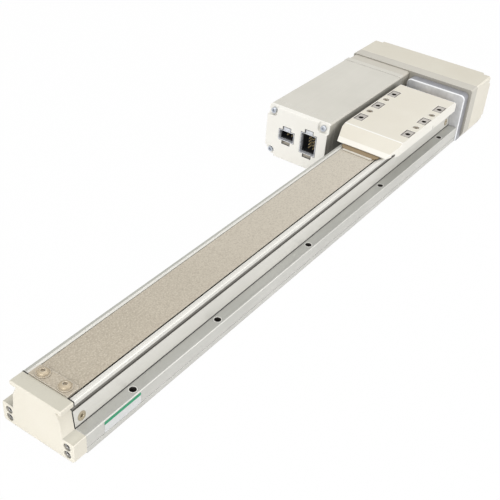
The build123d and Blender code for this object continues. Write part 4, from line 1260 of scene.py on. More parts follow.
class Bench:
    """Where pieces are made from CAD nodes, dressed and set on their bodies."""

    def __init__(self, frame: dict[str, object]) -> None:
        self.nodes: dict[str, Piece] = frame["nodes"]
        self.trees = Trees()

    def place(
        self, piece: Piece, finish: Finish | None, slot: str | None = None,
        node: str | None = None, rides_with: str | None = None,
    ) -> None:
        """Gives a piece its finish and body, and hides the node that it stands for.

        Args:
            piece: The piece, in place.
            finish: Its finish, or None where its faces already have theirs.
            slot: Not used.
            node: The CAD node that it stands for and rides with, if any.
            rides_with: The CAD node that it rides with without standing for it, if any.
        """
        if finish is not None:
            piece.data.materials.clear()
            piece.data.materials.append(finish.material())
        carrier = node or rides_with
        body = self.nodes[carrier]["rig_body"] if carrier else "frame"
        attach(piece, body)
        if node:
            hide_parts(node)
        LOG.info("piece %s on %s: %d faces", piece.name, body, len(piece.data.polygons))

    def dress(self, finish: Finish, *nodes: str) -> None:
        """Gives CAD nodes that stay as they are a finish.

        Args:
            finish: The finish.
            *nodes: Names of the nodes.
        """
        for node in nodes:
            mesh = self.nodes[node].data
            mesh.materials.clear()
            mesh.materials.append(finish.material())
            LOG.info("node %s has finish %s", node, finish.name)

    def soft_copy(
        self, node: str, name: str, finish: Finish, slot: str, width: float = 0.25,
        zones: Sequence[Zone] = (), cuts: Sequence[float] = (),
    ) -> None:
        """Makes a copy of a CAD node with rounded corners, which stands for the node.

        Args:
            node: The CAD node.
            name: Name of the piece.
            finish: Its finish.
            slot: Passed on to place, which does not use it.
            width: Width of its rounded corners in millimetres.
            zones: Faces with another finish. A later zone goes over an earlier one.
            cuts: Places along X where its faces are split, so that a zone can end there.
        """
        shape = merged(self.nodes[node])
        parts = {"verts": shape.verts[:], "edges": shape.edges[:]}
        bmesh.ops.dissolve_limit(shape, angle_limit=math.radians(FLAT_BELOW), delimit={"NORMAL"}, **parts)
        soften(shape, width)
        for place in cuts:
            whole = [*shape.verts, *shape.edges, *shape.faces]
            bmesh.ops.bisect_plane(shape, geom=whole, plane_co=(place * MM, 0.0, 0.0), plane_no=REAR)
        shape.normal_update()
        for number, zone in enumerate(zones, start=1):
            for face in shape.faces:
                if zone.holds(face.calc_center_median() / MM, face.normal):
                    face.material_index = number
        piece = object_of(shape, name)
        for used in (finish, *(zone.finish for zone in zones)):
            piece.data.materials.append(used.material())
        self.place(evened(piece), None, slot, node)

    def repeat(
        self, tree: ShapeTree, name: str, points: Sequence[Vector], axes: Sequence[Vector],
        values: dict[str, float | int], finish: Finish, slot: str, node: str | None = None,
    ) -> None:
        """Makes a piece that repeats a tree's form.

        Args:
            tree: The tree.
            name: Name of the piece.
            points: Where the forms stand, in metres.
            axes: The way each form looks, or one way for all of them.
            values: What the tree's named inputs are set to.
            finish: The piece's finish.
            slot: Passed on to place, which does not use it.
            node: The CAD node that it stands for, if any.
        """
        ways = list(axes) * len(points) if len(axes) == 1 else axes
        piece = tree.run(name, points, ways, {**values, "Finish": finish.material()})
        self.place(piece, None, slot, node)

    def screws(
        self, node: str, name: str, screw: ScrewKind, way: Vector, span: Pair = (-math.inf, math.inf)
    ) -> None:
        """Makes screws with sockets that stand for the plain ones of a CAD node.

        Args:
            node: The CAD node, one solid per screw.
            name: Name of the piece.
            screw: The kind of screw.
            way: The way the heads look, mirrored for the screws on the -Y side.
            span: Only the screws between these places along X belong to the piece.
        """
        points, axes, length = [], [], 0.0
        for part in islands(self.nodes[node]):
            centre = sum(part, Vector()) / len(part)
            if not span[0] <= centre.x < span[1]:
                continue
            axis = Vector((way.x, math.copysign(way.y, centre.y), way.z)).normalized()
            first = axis.orthogonal().normalized()
            spot = Vector()
            for line in (first, axis.cross(first)):
                reach = [point.dot(line) for point in part]
                spot += line * (min(reach) + max(reach)) / 2
            along = [point.dot(axis) for point in part]
            length = max(along) - min(along)
            points.append(spot + axis * max(along))
            axes.append(axis)
        values = screw.values(length)
        self.repeat(self.trees.screws, name, points, axes, values, screw.finish, "bright_screw", node)


# Sub-assemblies


def faces_up(centre: Vector, normal: Vector) -> bool:
    """Whether a face lies on top."""
    return normal.z > FACES_UP


@dataclass
class Unit:
    """A sub-assembly of the actuator."""

    bench: Bench

    def build(self) -> None:
        """Makes its pieces, where it has any of its own."""

    def dress(self) -> None:
        """Gives its other CAD nodes their finish, where it has any."""


@dataclass
class RailBody(Unit):
    """Rail extrusion, side covers, dark lines of painted shade along the covers' feet, mounting hole rings,
    label and raceways.
    """

    half_length: float = 242.0
    side: float = 27.5
    ledge: float = 14.0
    ledge_band: float = 0.2
    rail_bevel: float = 0.22
    cover_bevel: float = 0.16
    flank_way: Point = (0.0, 0.993, 0.117)
    hole_line: float = 23.1
    hole_places: tuple[float, ...] = (-199.0, -117.0, -7.0, 103.0, 213.0)
    hole_radius: float = 2.25
    hole_skin: float = 0.1
    wall_turn: float = 0.5
    ring_width: float = 0.55
    ring_rise: float = 0.03
    ring_lead: float = 0.25
    ring_sink: float = 0.3
    cover_foot: float = 19.0
    seam_width: float = 0.35
    seam_height: float = 0.4
    seam_sink: float = 0.02
    seam_slope: float = 0.1
    seam_break: float = 0.6
    groove_band: Pair = (25.6, 31.7)
    groove_from: float = 16.6
    lip_half: float = 19.3
    far_lip_from: float = 17.25
    far_lip_turn: float = 0.1
    label_low: Pair = (-227.8, 4.6)
    label_high: Pair = (-197.0, 13.1)
    label_corner: float = 0.7
    label_thickness: float = 0.12
    label_bevel: float = 0.04
    screw: ScrewKind = ScrewKind(
        HeadKind.COUNTERSUNK, 3.1, 1.7, 1.5, 1.05, 1.1, finish=Palette.gilt, seed=11
    )

    def build(self) -> None:
        """Makes the rail's pieces."""
        # The ledges get a darker copy of the anodising as painted shade; the hole walls get dark metal,
        # partly painted shade.
        zones = (Zone(Palette.rail_top, self.on_ledge), Zone(Palette.hole, self.in_hole))
        rail, slot = Palette.rail, "anodised_rail"
        self.bench.soft_copy("base_rail", "rail_extrusion", rail, slot, self.rail_bevel, zones)
        # The groove under each lip and the outer top of the motor side's lip get darker greys as painted
        # shade.
        groove, lip = Zone(Palette.groove, self.in_groove), Zone(Palette.far_lip, self.on_far_lip)
        for side, zones in (("left", (lip, groove)), ("right", (groove,))):
            node, name = f"{side}_side_cover", f"{side}_cover_extrusion"
            self.bench.soft_copy(node, name, Palette.cover, "anodised_cover", self.cover_bevel, zones)
        self.bench.screws("side_cover_screws", "cover_screws", self.screw, Vector(self.flank_way))
        self.build_rings()
        self.build_seams()
        self.build_label()

    def on_ledge(self, centre: Vector, normal: Vector) -> bool:
        """Whether a face lies on a ledge of the rail."""
        return normal.z > FACES_UP and abs(centre.z - self.ledge) < self.ledge_band

    def in_hole(self, centre: Vector, normal: Vector) -> bool:
        """Whether a face is a wall of a mounting hole."""
        reach = min(math.hypot(centre.x - x, abs(centre.y) - self.hole_line) for x in self.hole_places)
        return reach < self.hole_radius + self.hole_skin and abs(normal.z) < self.wall_turn

    def on_far_lip(self, centre: Vector, normal: Vector) -> bool:
        """Whether a face lies on top of the lip of the cover on the motor's side."""
        above = centre.z > self.groove_band[1] and normal.z > self.far_lip_turn
        return above and centre.y > self.far_lip_from

    def in_groove(self, centre: Vector, normal: Vector) -> bool:
        """Whether a face lies in the groove under a cover's lip."""
        low, high = self.groove_band
        return low < centre.z < high and self.groove_from < abs(centre.y) < self.lip_half

    def build_rings(self) -> None:
        """Makes the rings of bare metal round the mounting holes' mouths."""
        lines = (-self.hole_line, self.hole_line)
        points = [Vector((x, y, self.ledge)) * MM for x in self.hole_places for y in lines]
        values = {
            "Inner Radius": self.hole_radius * MM, "Outer Radius": (self.hole_radius + self.ring_width) * MM,
            "Rise": self.ring_rise * MM, "Lead In": self.ring_lead * MM, "Sink": self.ring_sink * MM,
        }
        tree, finish = self.bench.trees.rings, Palette.bright_cut
        self.bench.repeat(tree, "mounting_hole_rings", points, [UP], values, finish, "bare_aluminium")

    def build_seams(self) -> None:
        """Makes the dark line along the foot of each side cover, painted shade of the gap between foot and
        ledge.
        """
        shade_lines = []
        low, high = self.ledge - self.seam_sink, self.ledge + self.seam_height
        break_height = self.ledge + self.seam_height * self.seam_break
        for side in (-1, 1):
            foot = self.cover_foot * side
            out, slope = foot + self.seam_width * side, self.seam_slope * side
            outline = [(foot - slope, low), (out, low), (out - slope, break_height), (foot - slope, high)]
            shade_lines.append(prism(outline, 0, -self.half_length, self.half_length))
        self.bench.place(object_of(joined(shade_lines), "cover_foot_seams"), Palette.seam, "rubber")

    def build_label(self) -> None:
        """Makes the blank film label with a plain band on the rail's outer side."""
        outline = rounded_outline(self.label_low, self.label_high, self.label_corner)
        shape = prism(outline, 1, -self.side - self.label_thickness, -self.side)
        soften(shape, self.label_bevel, corner=60.0, steps=1)
        self.bench.place(object_of(shape, "side_label"), Palette.film)

    def dress(self) -> None:
        """Gives the raceways their finish."""
        self.bench.dress(Palette.steel, "left_raceway", "right_raceway")


@dataclass
class StripTop(Unit):
    """Dust strip and the plates and screws that hold its ends."""

    strip_bevel: float = 0.06
    clamp_bevel: float = 0.18
    front_screw: ScrewKind = ScrewKind(
        HeadKind.BUTTON, 3.6, 1.9, 1.25, 1.25, 1.2, 4.5, 0.5, Palette.clamp_screw, 21
    )
    rear_screw: ScrewKind = ScrewKind(
        HeadKind.BUTTON, 2.3, 1.2, 1.25, 0.8, 0.8, 2.5, 0.3, Palette.clamp_screw, 22
    )

    def build(self) -> None:
        """Makes strip, clamp plates and their screws."""
        self.bench.soft_copy("dust_strip", "cover_strip", Palette.strip, "taupe_strip", self.strip_bevel)
        for end in ("front", "rear"):
            node, name = f"{end}_strip_clamp", f"{end}_clamp_plate"
            self.bench.soft_copy(node, name, Palette.clamp, "taupe_strip", self.clamp_bevel)
        node = "strip_clamp_screws"
        self.bench.screws(node, "front_clamp_screws", self.front_screw, UP, (-math.inf, 0.0))
        self.bench.screws(node, "rear_clamp_screws", self.rear_screw, UP, (0.0, math.inf))


@dataclass
class FrontEnd(Unit):
    """Painted end cap with its screws, and the floating bearing inside."""

    screw: ScrewKind = ScrewKind(
        HeadKind.CAP, 2.3, 2.4, 1.25, 1.05, 1.2, finish=Palette.end_screw, seed=31
    )
    cap_bevel: float = 0.2
    joint: float = -242.0
    gasket_thickness: float = 0.7
    gasket_proud: float = 0.06
    gasket_root: Pair = (13.6, 30.5)
    body_top: float = 34.7
    top_break: float = 0.4
    lip_half: float = 19.4
    lip_under: float = 31.5
    groove_half: float = 16.9
    flank_top: Pair = (17.6, 25.9)
    flank_foot: Pair = (19.0, 14.1)
    strip_half: float = 14.9

    def build(self) -> None:
        """Makes the cap, the black band of painted shade at its joint, and its screws."""
        self.build_gasket()
        bench, cream = self.bench, Palette.cream_paint
        # The cap's upward faces get the darker copy of its paint as painted shade.
        top = (Zone(Palette.cap_top, faces_up),)
        bench.soft_copy("front_end_cap", "front_cap_casting", cream, "cream_paint", self.cap_bevel, top)
        bench.screws("front_end_cap_screws", "front_cap_screws", self.screw, FRONT)

    def build_gasket(self) -> None:
        """Makes the thin black band between cap and side covers, a hair proud of both: painted shade of the
        joint's gap.
        """
        proud = self.gasket_proud
        foot, flank = self.flank_foot, self.flank_top[1] + proud
        groove, lip = self.groove_half + proud, self.lip_half + proud
        half = [
            (foot[0] + proud, foot[1]), (self.flank_top[0] + proud, flank), (groove, flank),
            (groove, self.lip_under - proud), (lip, self.lip_under - proud),
            (lip, self.body_top - self.top_break), (self.lip_half - self.top_break, self.body_top + proud),
            (self.strip_half, self.body_top + proud), (self.strip_half, self.lip_under),
            self.gasket_root, (self.gasket_root[0], foot[1]),
        ]
        start = self.joint - self.gasket_thickness / 2
        end = start + self.gasket_thickness
        bars = [prism([(side * y, z) for y, z in half], 0, start, end) for side in (-1, 1)]
        self.bench.place(object_of(joined(bars), "cap_gasket"), Palette.gasket, "rubber")

    def dress(self) -> None:
        """Gives the bearing, its block and the damper their finishes."""
        self.bench.dress(Palette.bare, "front_bearing_block")
        self.bench.dress(Palette.steel, "front_bearing")
        self.bench.dress(Palette.rubber, "front_damper")


@dataclass
class RearEnd(Unit):
    """End plate, motor bracket, pulley cover, their screws, and the fixed bearings inside."""

    plate_bevel: float = 0.45
    bracket_bevel: float = 0.35
    plate_screw: ScrewKind = ScrewKind(HeadKind.CAP, 2.3, 2.4, 1.25, 1.05, 1.2, seed=41)
    bracket_screw: ScrewKind = ScrewKind(HeadKind.CAP, 2.75, 2.6, 1.5, 1.3, 1.3, seed=42)
    cover_screw: ScrewKind = ScrewKind(HeadKind.CAP, 2.5, 2.4, 1.25, 1.05, 1.2, seed=43)
    edge_turn: Pair = (0.2, 0.96)

    def build(self) -> None:
        """Makes the plates, the cover and the screws."""
        bench = self.bench
        plate, grey, cream = Palette.plate, Palette.bracket_grey, Palette.cream_plastic
        rims = (Zone(Palette.plate_edge, self.on_edge), Zone(Palette.plate_rim, self.on_rim))
        front, lid = (Zone(Palette.bracket_front, self.on_front),), (Zone(Palette.pulley_top, faces_up),)
        bare, paint = "bare_aluminium", "warm_grey_paint"
        # The plate's rounded edge gets a near-white painted highlight, and its rim a darker copy as painted
        # shade.
        bench.soft_copy("rear_end_plate", "end_plate_machined", plate, bare, self.plate_bevel, rims)
        # The bracket's front face gets a darker grey, partly painted shade.
        bench.soft_copy("motor_bracket", "bracket_casting", grey, paint, self.bracket_bevel, front)
        # The pulley cover's upward faces get the darker copy as painted shade.
        bench.soft_copy("pulley_cover", "pulley_cover_moulding", cream, "cream_plastic", zones=lid)
        bench.screws("end_plate_screws", "plate_screws", self.plate_screw, REAR)
        bench.screws("bracket_screws", "bracket_fixing_screws", self.bracket_screw, REAR)
        bench.screws("pulley_cover_screws", "cover_corner_screws", self.cover_screw, REAR)

    def on_edge(self, centre: Vector, normal: Vector) -> bool:
        """Whether a face lies on the end plate's rounded edge."""
        return self.edge_turn[0] < abs(normal.x) < self.edge_turn[1]

    def on_rim(self, centre: Vector, normal: Vector) -> bool:
        """Whether a face lies on the end plate's rim."""
        return abs(normal.x) <= self.edge_turn[0]

    @staticmethod
    def on_front(centre: Vector, normal: Vector) -> bool:
        """Whether a face looks towards the idle end."""
        return normal.x < -FACES_ALONG

    def dress(self) -> None:
        """Gives the bearings, their housing and the damper their finishes."""
        self.bench.dress(Palette.bare, "fixed_bearing_housing", "bearing_cover")
        self.bench.dress(Palette.steel, "fixed_bearings", "bearing_nut")
        self.bench.dress(Palette.rubber, "rear_damper")


@dataclass
class BeltDrive(Unit):
    """Two toothed pulleys and the belt under the pulley cover."""

    def dress(self) -> None:
        """Gives pulleys and belt their finishes."""
        self.bench.dress(Palette.bare, "screw_pulley", "motor_pulley")
        self.bench.dress(Palette.rubber, "timing_belt")


@dataclass
class MotorUnit(Unit):
    """Motor casing, its end cover with two sockets, and the motor inside."""

    end_screw: ScrewKind = ScrewKind(HeadKind.CAP, 2.5, 2.4, 1.25, 1.05, 1.2, seed=51)
    end_bevel: float = 0.22
    shell_bevel: float = 0.08
    insulator_bevel: float = 0.1
    pin_width: float = 0.9
    pin_tip: float = 1.2
    case_low: Pair = (31.5, 1.5)
    case_high: Pair = (90.5, 47.5)
    case_foot: float = 5.0
    case_break: float = 1.3
    inner_side: float = 32.0
    face: float = 104.0
    socket_height: float = 24.5
    socket_places: tuple[Point, ...] = ((48.3, 15.0, 19.0), (69.8, 15.0, 9.6))
    latch_top: float = 19.1
    latch_half: float = 3.8
    latch_rise: float = 3.2
    outline_width: float = 0.35
    liner_sink: float = 0.05
    liner_depth: float = 0.6
    ring_seam: Pair = (115.7, 116.0)
    seam_skins: Pair = (-0.12, -1.2)
    collar: Pair = (232.4, 238.4)
    collar_skins: Pair = (0.3, -0.2)
    collar_bevel: float = 0.15

    def build(self) -> None:
        """Makes casing, sockets, pins and screws."""
        bench, skin = self.bench, Palette.motor_skin
        bench.soft_copy("motor_flange", "motor_flange_casting", Palette.warm_grey, "warm_grey_paint")
        for part in ("cover", "ring"):
            bench.soft_copy(f"motor_{part}", f"motor_{part}_extrusion", skin, "warm_grey_paint")
        # The end cover's faces towards the body get the casing's darker grey as painted shade.
        inner = (Zone(skin, self.on_inner_side),)
        white, slot = Palette.white_plastic, "cream_plastic"
        bench.soft_copy("motor_end_cover", "motor_end_moulding", white, slot, self.end_bevel, inner)
        self.build_bands()
        self.build_liners()
        low, black = (Zone(Palette.latch, self.on_low_latch),), Palette.black_plastic
        for kind in ("power", "signal"):
            node, name = f"{kind}_socket_shell", f"{kind}_latch_shell"
            bench.soft_copy(node, name, Palette.shell, "socket_shell", self.shell_bevel, low)
            node, name = f"{kind}_socket", f"{kind}_insulator"
            bench.soft_copy(node, name, black, "black_plastic", self.insulator_bevel)
            self.build_pins(kind)
        bench.screws("motor_end_screws", "motor_corner_screws", self.end_screw, FRONT)

    def on_inner_side(self, centre: Vector, normal: Vector) -> bool:
        """Whether a face of the end cover looks towards the body."""
        return normal.y < -FACES_ALONG and centre.y < self.inner_side

    def on_low_latch(self, centre: Vector, normal: Vector) -> bool:
        """Whether a face lies on the front of a lower latch."""
        return normal.x < -FACES_ALONG and centre.z < self.latch_top

    def case_band(self, skins: Pair, span: Pair) -> Shape:
        """A closed band round the casing.

        Args:
            skins: How far its outer and inner skins stand out from the casing, in millimetres.
            span: Where it starts and ends along X.

        Returns:
            The mesh.
        """
        outlines = []
        foot, top = self.case_foot, self.case_break
        for proud in skins:
            left, bottom = self.case_low[0] - proud, self.case_low[1] - proud
            right, roof = self.case_high[0] + proud, self.case_high[1] + proud
            outlines.append([
                (left + foot, bottom), (right - foot, bottom), (right, bottom + foot), (right, roof - top),
                (right - top, roof), (left + top, roof), (left, roof - top), (left, bottom + foot),
            ])
        return prism(outlines[0], 0, *span, outlines[1])

    def build_bands(self) -> None:
        """Makes the low collar round the casing by its flange, and the bead in the ring's seam."""
        collar = self.case_band(self.collar_skins, self.collar)
        soften(collar, self.collar_bevel)
        skin, slot = Palette.motor_skin, "warm_grey_paint"
        self.bench.place(evened(object_of(collar, "motor_cover_collar")), skin, slot)
        bead = self.case_band(self.seam_skins, self.ring_seam)
        self.bench.place(object_of(bead, "ring_seam_bead"), skin, slot)

    def window_outline(self, place: Point, proud: float) -> Outline:
        """Outline of a socket's window with its latch notches.

        Args:
            place: The window's centre along Y, its width and its height.
            proud: How far the outline is moved outwards, in millimetres.

        Returns:
            The points.
        """
        y, width, height = place
        z = self.socket_height
        across, up = width / 2 + proud, height / 2 + proud
        notch, tip = self.latch_half + proud, up + self.latch_rise
        half = [(notch, -tip), (notch, -up), (across, -up), (across, up), (notch, up), (notch, tip)]
        return [(y + a, z + b) for a, b in half] + [(y - a, z - b) for a, b in half]

    def build_liners(self) -> None:
        """Makes the thin black liner round the mouth of each socket's window."""
        start, end = self.face - self.liner_sink, self.face + self.liner_depth
        liners = []
        for place in self.socket_places:
            outside = self.window_outline(place, self.outline_width)
            liners.append(prism(outside, 0, start, end, self.window_outline(place, -self.liner_sink)))
        self.bench.place(object_of(joined(liners), "socket_window_liners"), Palette.gasket, "black_plastic")

    def build_pins(self, kind: str) -> None:
        """Makes the tapered contact pins of one socket.

        Args:
            kind: The socket, power or signal.
        """
        node = f"{kind}_pins"
        points, length = [], 0.0
        for part in islands(self.bench.nodes[node]):
            low, high = (Vector([pick(p[i] for p in part) for i in range(3)]) for pick in (min, max))
            length = high.x - low.x
            points.append(Vector((low.x, (low.y + high.y) / 2, (low.z + high.z) / 2)))
        values = {"Width": self.pin_width * MM, "Length": length, "Tip": self.pin_tip * MM}
        tree, name, finish = self.bench.trees.pins, f"{kind}_contact_pins", Palette.contact
        self.bench.repeat(tree, name, points, [FRONT], values, finish, "contact", node)

    def dress(self) -> None:
        """Gives what is inside the motor its finishes."""
        self.bench.dress(Palette.dark_steel, "motor_stator")
        self.bench.dress(Palette.steel, "motor_bearings", "motor_rotor")
        self.bench.dress(Palette.board, "encoder_board")
        self.bench.dress(Palette.bare, "encoder_disc")


@dataclass
class TableUnit(Unit):
    """Table with machined pads, its screws and scrapers, and the carriage below."""

    top: float = 45.0
    top_band: float = 0.6
    table_bevel: float = 0.28
    pad_depth: float = 0.4
    pad_reach: float = 9.0
    pad_places: tuple[float, ...] = (142.5, 172.5, 202.5)
    pad_line: float = 22.0
    pad_half: Pair = (6.5, 4.0)
    rim_width: float = 0.8
    rim_rise: float = 0.03
    rim_sink: float = 0.05
    pad_margin: float = 0.02
    hole_from: float = 0.35
    side_turn: float = 0.4
    crease_turn: float = 0.85
    creases: Pair = (124.5, 224.5)
    crease_half: float = 0.55
    nose_lip: float = 110.0
    scraper_bevel: float = 0.2
    wiper_bevel: float = 0.15
    ball_radius: float = 1.2
    ball_seed: int = 62
    screw: ScrewKind = ScrewKind(
        HeadKind.CAP, 2.5, 1.6, 1.25, 1.0, 1.0, finish=Palette.dull_screw, seed=61
    )

    def build(self) -> None:
        """Makes table, screws, scrapers and balls."""
        bench = self.bench
        # Painted light: paler sides and nose lip, a near-white painted highlight along the creases, and hole
        # walls darkened in part as painted shade.
        zones = (
            Zone(Palette.table_side, self.on_side), Zone(Palette.table_crease, self.on_crease),
            Zone(Palette.pad, self.on_pad), Zone(Palette.hole, self.in_hole),
        )
        cuts = [crease + way * self.crease_half for crease in self.creases for way in (-1, 1)]
        cuts.append(self.nose_lip)
        cream, slot = Palette.table_paint, "cream_paint"
        bench.soft_copy("table", "table_casting", cream, slot, self.table_bevel, zones, cuts)
        self.build_rims()
        bench.screws("table_screws", "table_low_head_screws", self.screw, UP)
        seals = (
            ("scraper", "scraper_block", Palette.scraper, "brown_scraper", self.scraper_bevel),
            ("wiper", "wiper_lip", Palette.lip, "white_lip", self.wiper_bevel),
        )
        for part, name, finish, slot, bevel in seals:
            for end in ("front", "rear"):
                bench.soft_copy(f"{end}_{part}", f"{end}_{name}", finish, slot, bevel)
        node = "carriage_balls"
        points = [sum(part, Vector()) / len(part) for part in islands(bench.nodes[node])]
        values = {"Radius": self.ball_radius * MM, "Seed": self.ball_seed}
        tree, steel = bench.trees.balls, Palette.steel
        bench.repeat(tree, "loaded_balls", points, [UP], values, steel, "hardened_steel", node)

    def on_side(self, centre: Vector, normal: Vector) -> bool:
        """Whether a face lies on a side of the table or on the lip of its nose."""
        below = centre.z < self.top - self.top_band
        return below and (normal.z < self.side_turn or centre.x < self.nose_lip)

    def on_crease(self, centre: Vector, normal: Vector) -> bool:
        """Whether a face lies beside the line where the flat top turns into a slope."""
        near = any(abs(centre.x - crease) < self.crease_half for crease in self.creases)
        return near and normal.z > self.crease_turn and centre.z > self.top - self.top_band

    def on_pad(self, centre: Vector, normal: Vector) -> bool:
        """Whether a face lies on the floor or in a hole of a machined pad.

        Args:
            centre: The face's centre in millimetres.
            normal: Not used.

        Returns:
            Whether it does.
        """
        if not self.top - self.pad_reach < centre.z <= self.top - self.pad_depth + self.rim_rise:
            return False
        across, up = (half - self.pad_margin for half in self.pad_half)
        beside = abs(abs(centre.y) - self.pad_line) < up
        return beside and any(abs(centre.x - x) < across for x in self.pad_places)

    def in_hole(self, centre: Vector, normal: Vector) -> bool:
        """Whether a face lies in a hole of a machined pad, below the pad's floor."""
        return self.on_pad(centre, normal) and centre.z < self.top - self.pad_depth - self.hole_from

    def build_rims(self) -> None:
        """Makes the dark line along the foot of each pad's wall, painted shade where the wall meets the
        floor.
        """
        floor = self.top - self.pad_depth
        inner = (self.pad_half[0] - self.rim_width, self.pad_half[1] - self.rim_width)
        rims = []
        for centre in [(x, y) for x in self.pad_places for y in (-self.pad_line, self.pad_line)]:
            outside, hole = rectangle(centre, self.pad_half), rectangle(centre, inner)
            rims.append(prism(outside, 2, floor - self.rim_sink, floor + self.rim_rise, hole))
        piece = object_of(joined(rims), "pad_rims")
        self.bench.place(piece, Palette.rim, "bare_aluminium", rides_with="table")

    def dress(self) -> None:
        """Gives the carriage below the table its finishes."""
        self.bench.dress(Palette.steel, "carriage_block", "ball_nut")
        self.bench.dress(Palette.bare, "saddle")
        self.bench.dress(Palette.black_plastic, "carriage_end_caps")


@dataclass
class DriveScrew(Unit):
    """Ball screw with its helical groove and plain journals."""

    height: float = 14.0
    radius: float = 5.0
    lead: float = 10.0
    groove_depth: float = 0.9
    groove_share: float = 0.44
    front: float = -229.0
    thread: Pair = (-220.0, 224.0)
    thread_lap: float = 0.5
    seat_end: float = 248.3
    shaft_end: float = 280.6
    front_journal: float = 3.0
    rear_journal: float = 4.0
    pulley_seat: float = 3.0
    edge: float = 0.3
    steps_per_turn: int = 12

    def build(self) -> None:
        """Makes the threaded length and the journals as one piece."""
        near, far = self.thread
        edge, journal, seat = self.edge, self.rear_journal, self.pulley_seat
        front = [
            (self.front, 0.0), (self.front, self.front_journal - edge),
            (self.front + edge, self.front_journal), (near + self.thread_lap, self.front_journal),
        ]
        rear = [
            (far - self.thread_lap, journal), (self.seat_end - edge, journal),
            (self.seat_end, journal - edge), (self.seat_end, seat), (self.shaft_end - edge, seat),
            (self.shaft_end, seat - edge), (self.shaft_end, 0.0),
        ]
        values = {
            "Radius": self.radius * MM, "Groove Depth": self.groove_depth * MM,
            "Groove Share": self.groove_share, "Lead": self.lead * MM, "Length": (far - near) * MM,
            "Steps Along": int((far - near) / self.lead * self.steps_per_turn) + 3,
            "Finish": Palette.steel.material(),
        }
        start = Vector((near, 0.0, self.height)) * MM
        thread = self.bench.trees.thread.run("screw_thread", [start], [REAR], values)
        whole = joined(lathe(profile, (0.0, self.height)) for profile in (front, rear))
        mesh = thread.data
        whole.from_mesh(mesh)
        bpy.data.objects.remove(thread)
        bpy.data.meshes.remove(mesh)
        piece = object_of(whole, "grooved_ball_screw")
        self.bench.place(piece, Palette.steel, "hardened_steel", "ball_screw")


# Studio


@dataclass(frozen=True)
class Lamp:
    """A soft rectangular lamp. Its places and sizes are in metres, its power in watts."""

    name: str
    place: Point
    aim: Point
    size: Pair
    power: float

    def build(self) -> None:
        """Sets the lamp up."""
        light = bpy.data.lights.new(self.name, "AREA")
        light.shape = "RECTANGLE"
        light.size, light.size_y = self.size
        light.energy = self.power
        lamp = bpy.data.objects.new(self.name, light)
        lamp.location = self.place
        lamp.rotation_euler = (Vector(self.aim) - Vector(self.place)).to_track_quat("-Z", "Y").to_euler()
        bpy.context.scene.collection.objects.link(lamp)


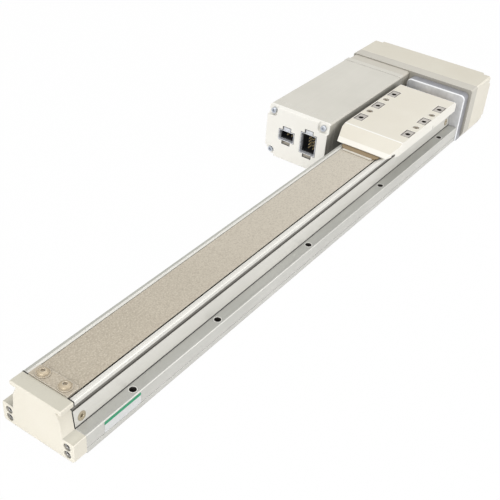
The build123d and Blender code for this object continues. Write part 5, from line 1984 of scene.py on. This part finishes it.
@dataclass
class Studio:
    """White floor and surroundings, lamps and the camera of the photograph's view, in metres."""

    floor_half: float = 4.0
    floor_drop: float = 0.0002
    floor_white: float = 0.98
    floor_colour: Colour = (0.86, 0.86, 0.86)
    floor_roughness: float = 0.9
    white: Colour = (1.0, 1.0, 1.0)
    ambient: float = 0.4
    camera_place: Point = (-0.478146, -0.270162, 0.377837)
    camera_right: Point = (0.5776, -0.8137, 0.0665)
    camera_down: Point = (-0.45652, -0.38942, -0.79997)
    camera_near: float = 0.01
    sensor_mm: float = 36.0
    focal_pixels: float = 887.27
    centre_pixels: Pair = (243.57, 272.61)
    frame_pixels: float = 500.0
    lamps: tuple[Lamp, ...] = (
        Lamp("overhead_softbox", (0.24, -0.1, 1.4), (0.08, 0.03, 0.0), (1.3, 1.2), 8.2),
        Lamp("front_softbox", (-1.5, -0.3, 0.75), (0.05, 0.05, 0.02), (1.1, 0.9), 15.5),
        Lamp("side_softbox", (0.75, -1.4, 0.65), (0.15, 0.0, 0.02), (1.2, 0.8), 8.0),
    )

    def build(self) -> None:
        """Builds everything round the object."""
        self.build_world()
        self.build_floor()
        for lamp in self.lamps:
            lamp.build()
        self.build_camera()
        bpy.context.scene.view_settings.view_transform = "Standard"

    @staticmethod
    def seen_directly(graph: Graph) -> Socket:
        """A mask that is 1 for what the camera, a reflection or glass sees.

        Args:
            graph: The node tree that it is for.

        Returns:
            The mask's socket.
        """
        path = graph.add("ShaderNodeLightPath").outputs
        mask = path["Is Camera Ray"]
        for ray in ("Is Glossy Ray", "Is Transmission Ray"):
            mask = graph.reckon("MAXIMUM", mask, path[ray])
        return mask

    def build_world(self) -> None:
        """White surroundings that light the object less than they show."""
        world = bpy.data.worlds.new("studio")
        bpy.context.scene.world = world
        world.use_nodes = True
        graph = Graph(world.node_tree)
        background = graph.nodes["Background"].inputs
        graph.feed(background["Color"], self.white)
        graph.feed(background["Strength"], graph.ramp(self.seen_directly(graph), 0.0, 1.0, self.ambient, 1.0))

    def build_floor(self) -> None:
        """White floor that keeps the object's shadow."""
        shape = bmesh.new()
        corners = rectangle((0.0, 0.0), (self.floor_half, self.floor_half))
        shape.faces.new([shape.verts.new((*corner, -self.floor_drop)) for corner in corners])
        floor = object_of(shape, "studio_floor")
        graph = ShaderGraph("studio_floor")
        graph.feed(graph.shader.inputs["Base Color"], self.floor_colour)
        graph.feed(graph.shader.inputs["Roughness"], self.floor_roughness)
        glow = graph.add("ShaderNodeEmission", {"Color": self.white, "Strength": 1.0})
        share = graph.reckon("MULTIPLY", self.seen_directly(graph), self.floor_white)
        mixed = graph.add("ShaderNodeMixShader", {0: share, 1: graph.shader.outputs[0], 2: glow.outputs[0]})
        graph.feed(graph.output.inputs[0], mixed.outputs[0])
        floor.data.materials.append(graph.material)

    def build_camera(self) -> None:
        """Camera at the photograph's place, with its shift."""
        data = bpy.data.cameras.new("photo_camera")
        data.sensor_width = self.sensor_mm
        data.lens = self.focal_pixels * self.sensor_mm / self.frame_pixels
        data.shift_x = (self.frame_pixels / 2 - self.centre_pixels[0]) / self.frame_pixels
        data.shift_y = (self.centre_pixels[1] - self.frame_pixels / 2) / self.frame_pixels
        data.clip_start = self.camera_near
        right = Vector(self.camera_right).normalized()
        up = -Vector(self.camera_down)
        up = (up - right * up.dot(right)).normalized()
        turn = Matrix((right, up, right.cross(up))).transposed().to_4x4()
        camera = bpy.data.objects.new("photo_camera", data)
        camera.matrix_world = Matrix.Translation(Vector(self.camera_place)) @ turn
        bpy.context.scene.collection.objects.link(camera)
        bpy.context.scene.camera = camera


def main() -> None:
    """Builds every sub-assembly in order, then the studio."""
    logging.basicConfig(level=logging.INFO, format="%(name)s: %(message)s")
    bench = Bench(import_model())
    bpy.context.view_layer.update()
    for kind in (RailBody, StripTop, FrontEnd, RearEnd, BeltDrive, MotorUnit, TableUnit, DriveScrew):
        LOG.info("building %s", kind.__name__)
        unit = kind(bench)
        unit.build()
        unit.dress()
    Studio().build()


if __name__ == "__main__":
    main()
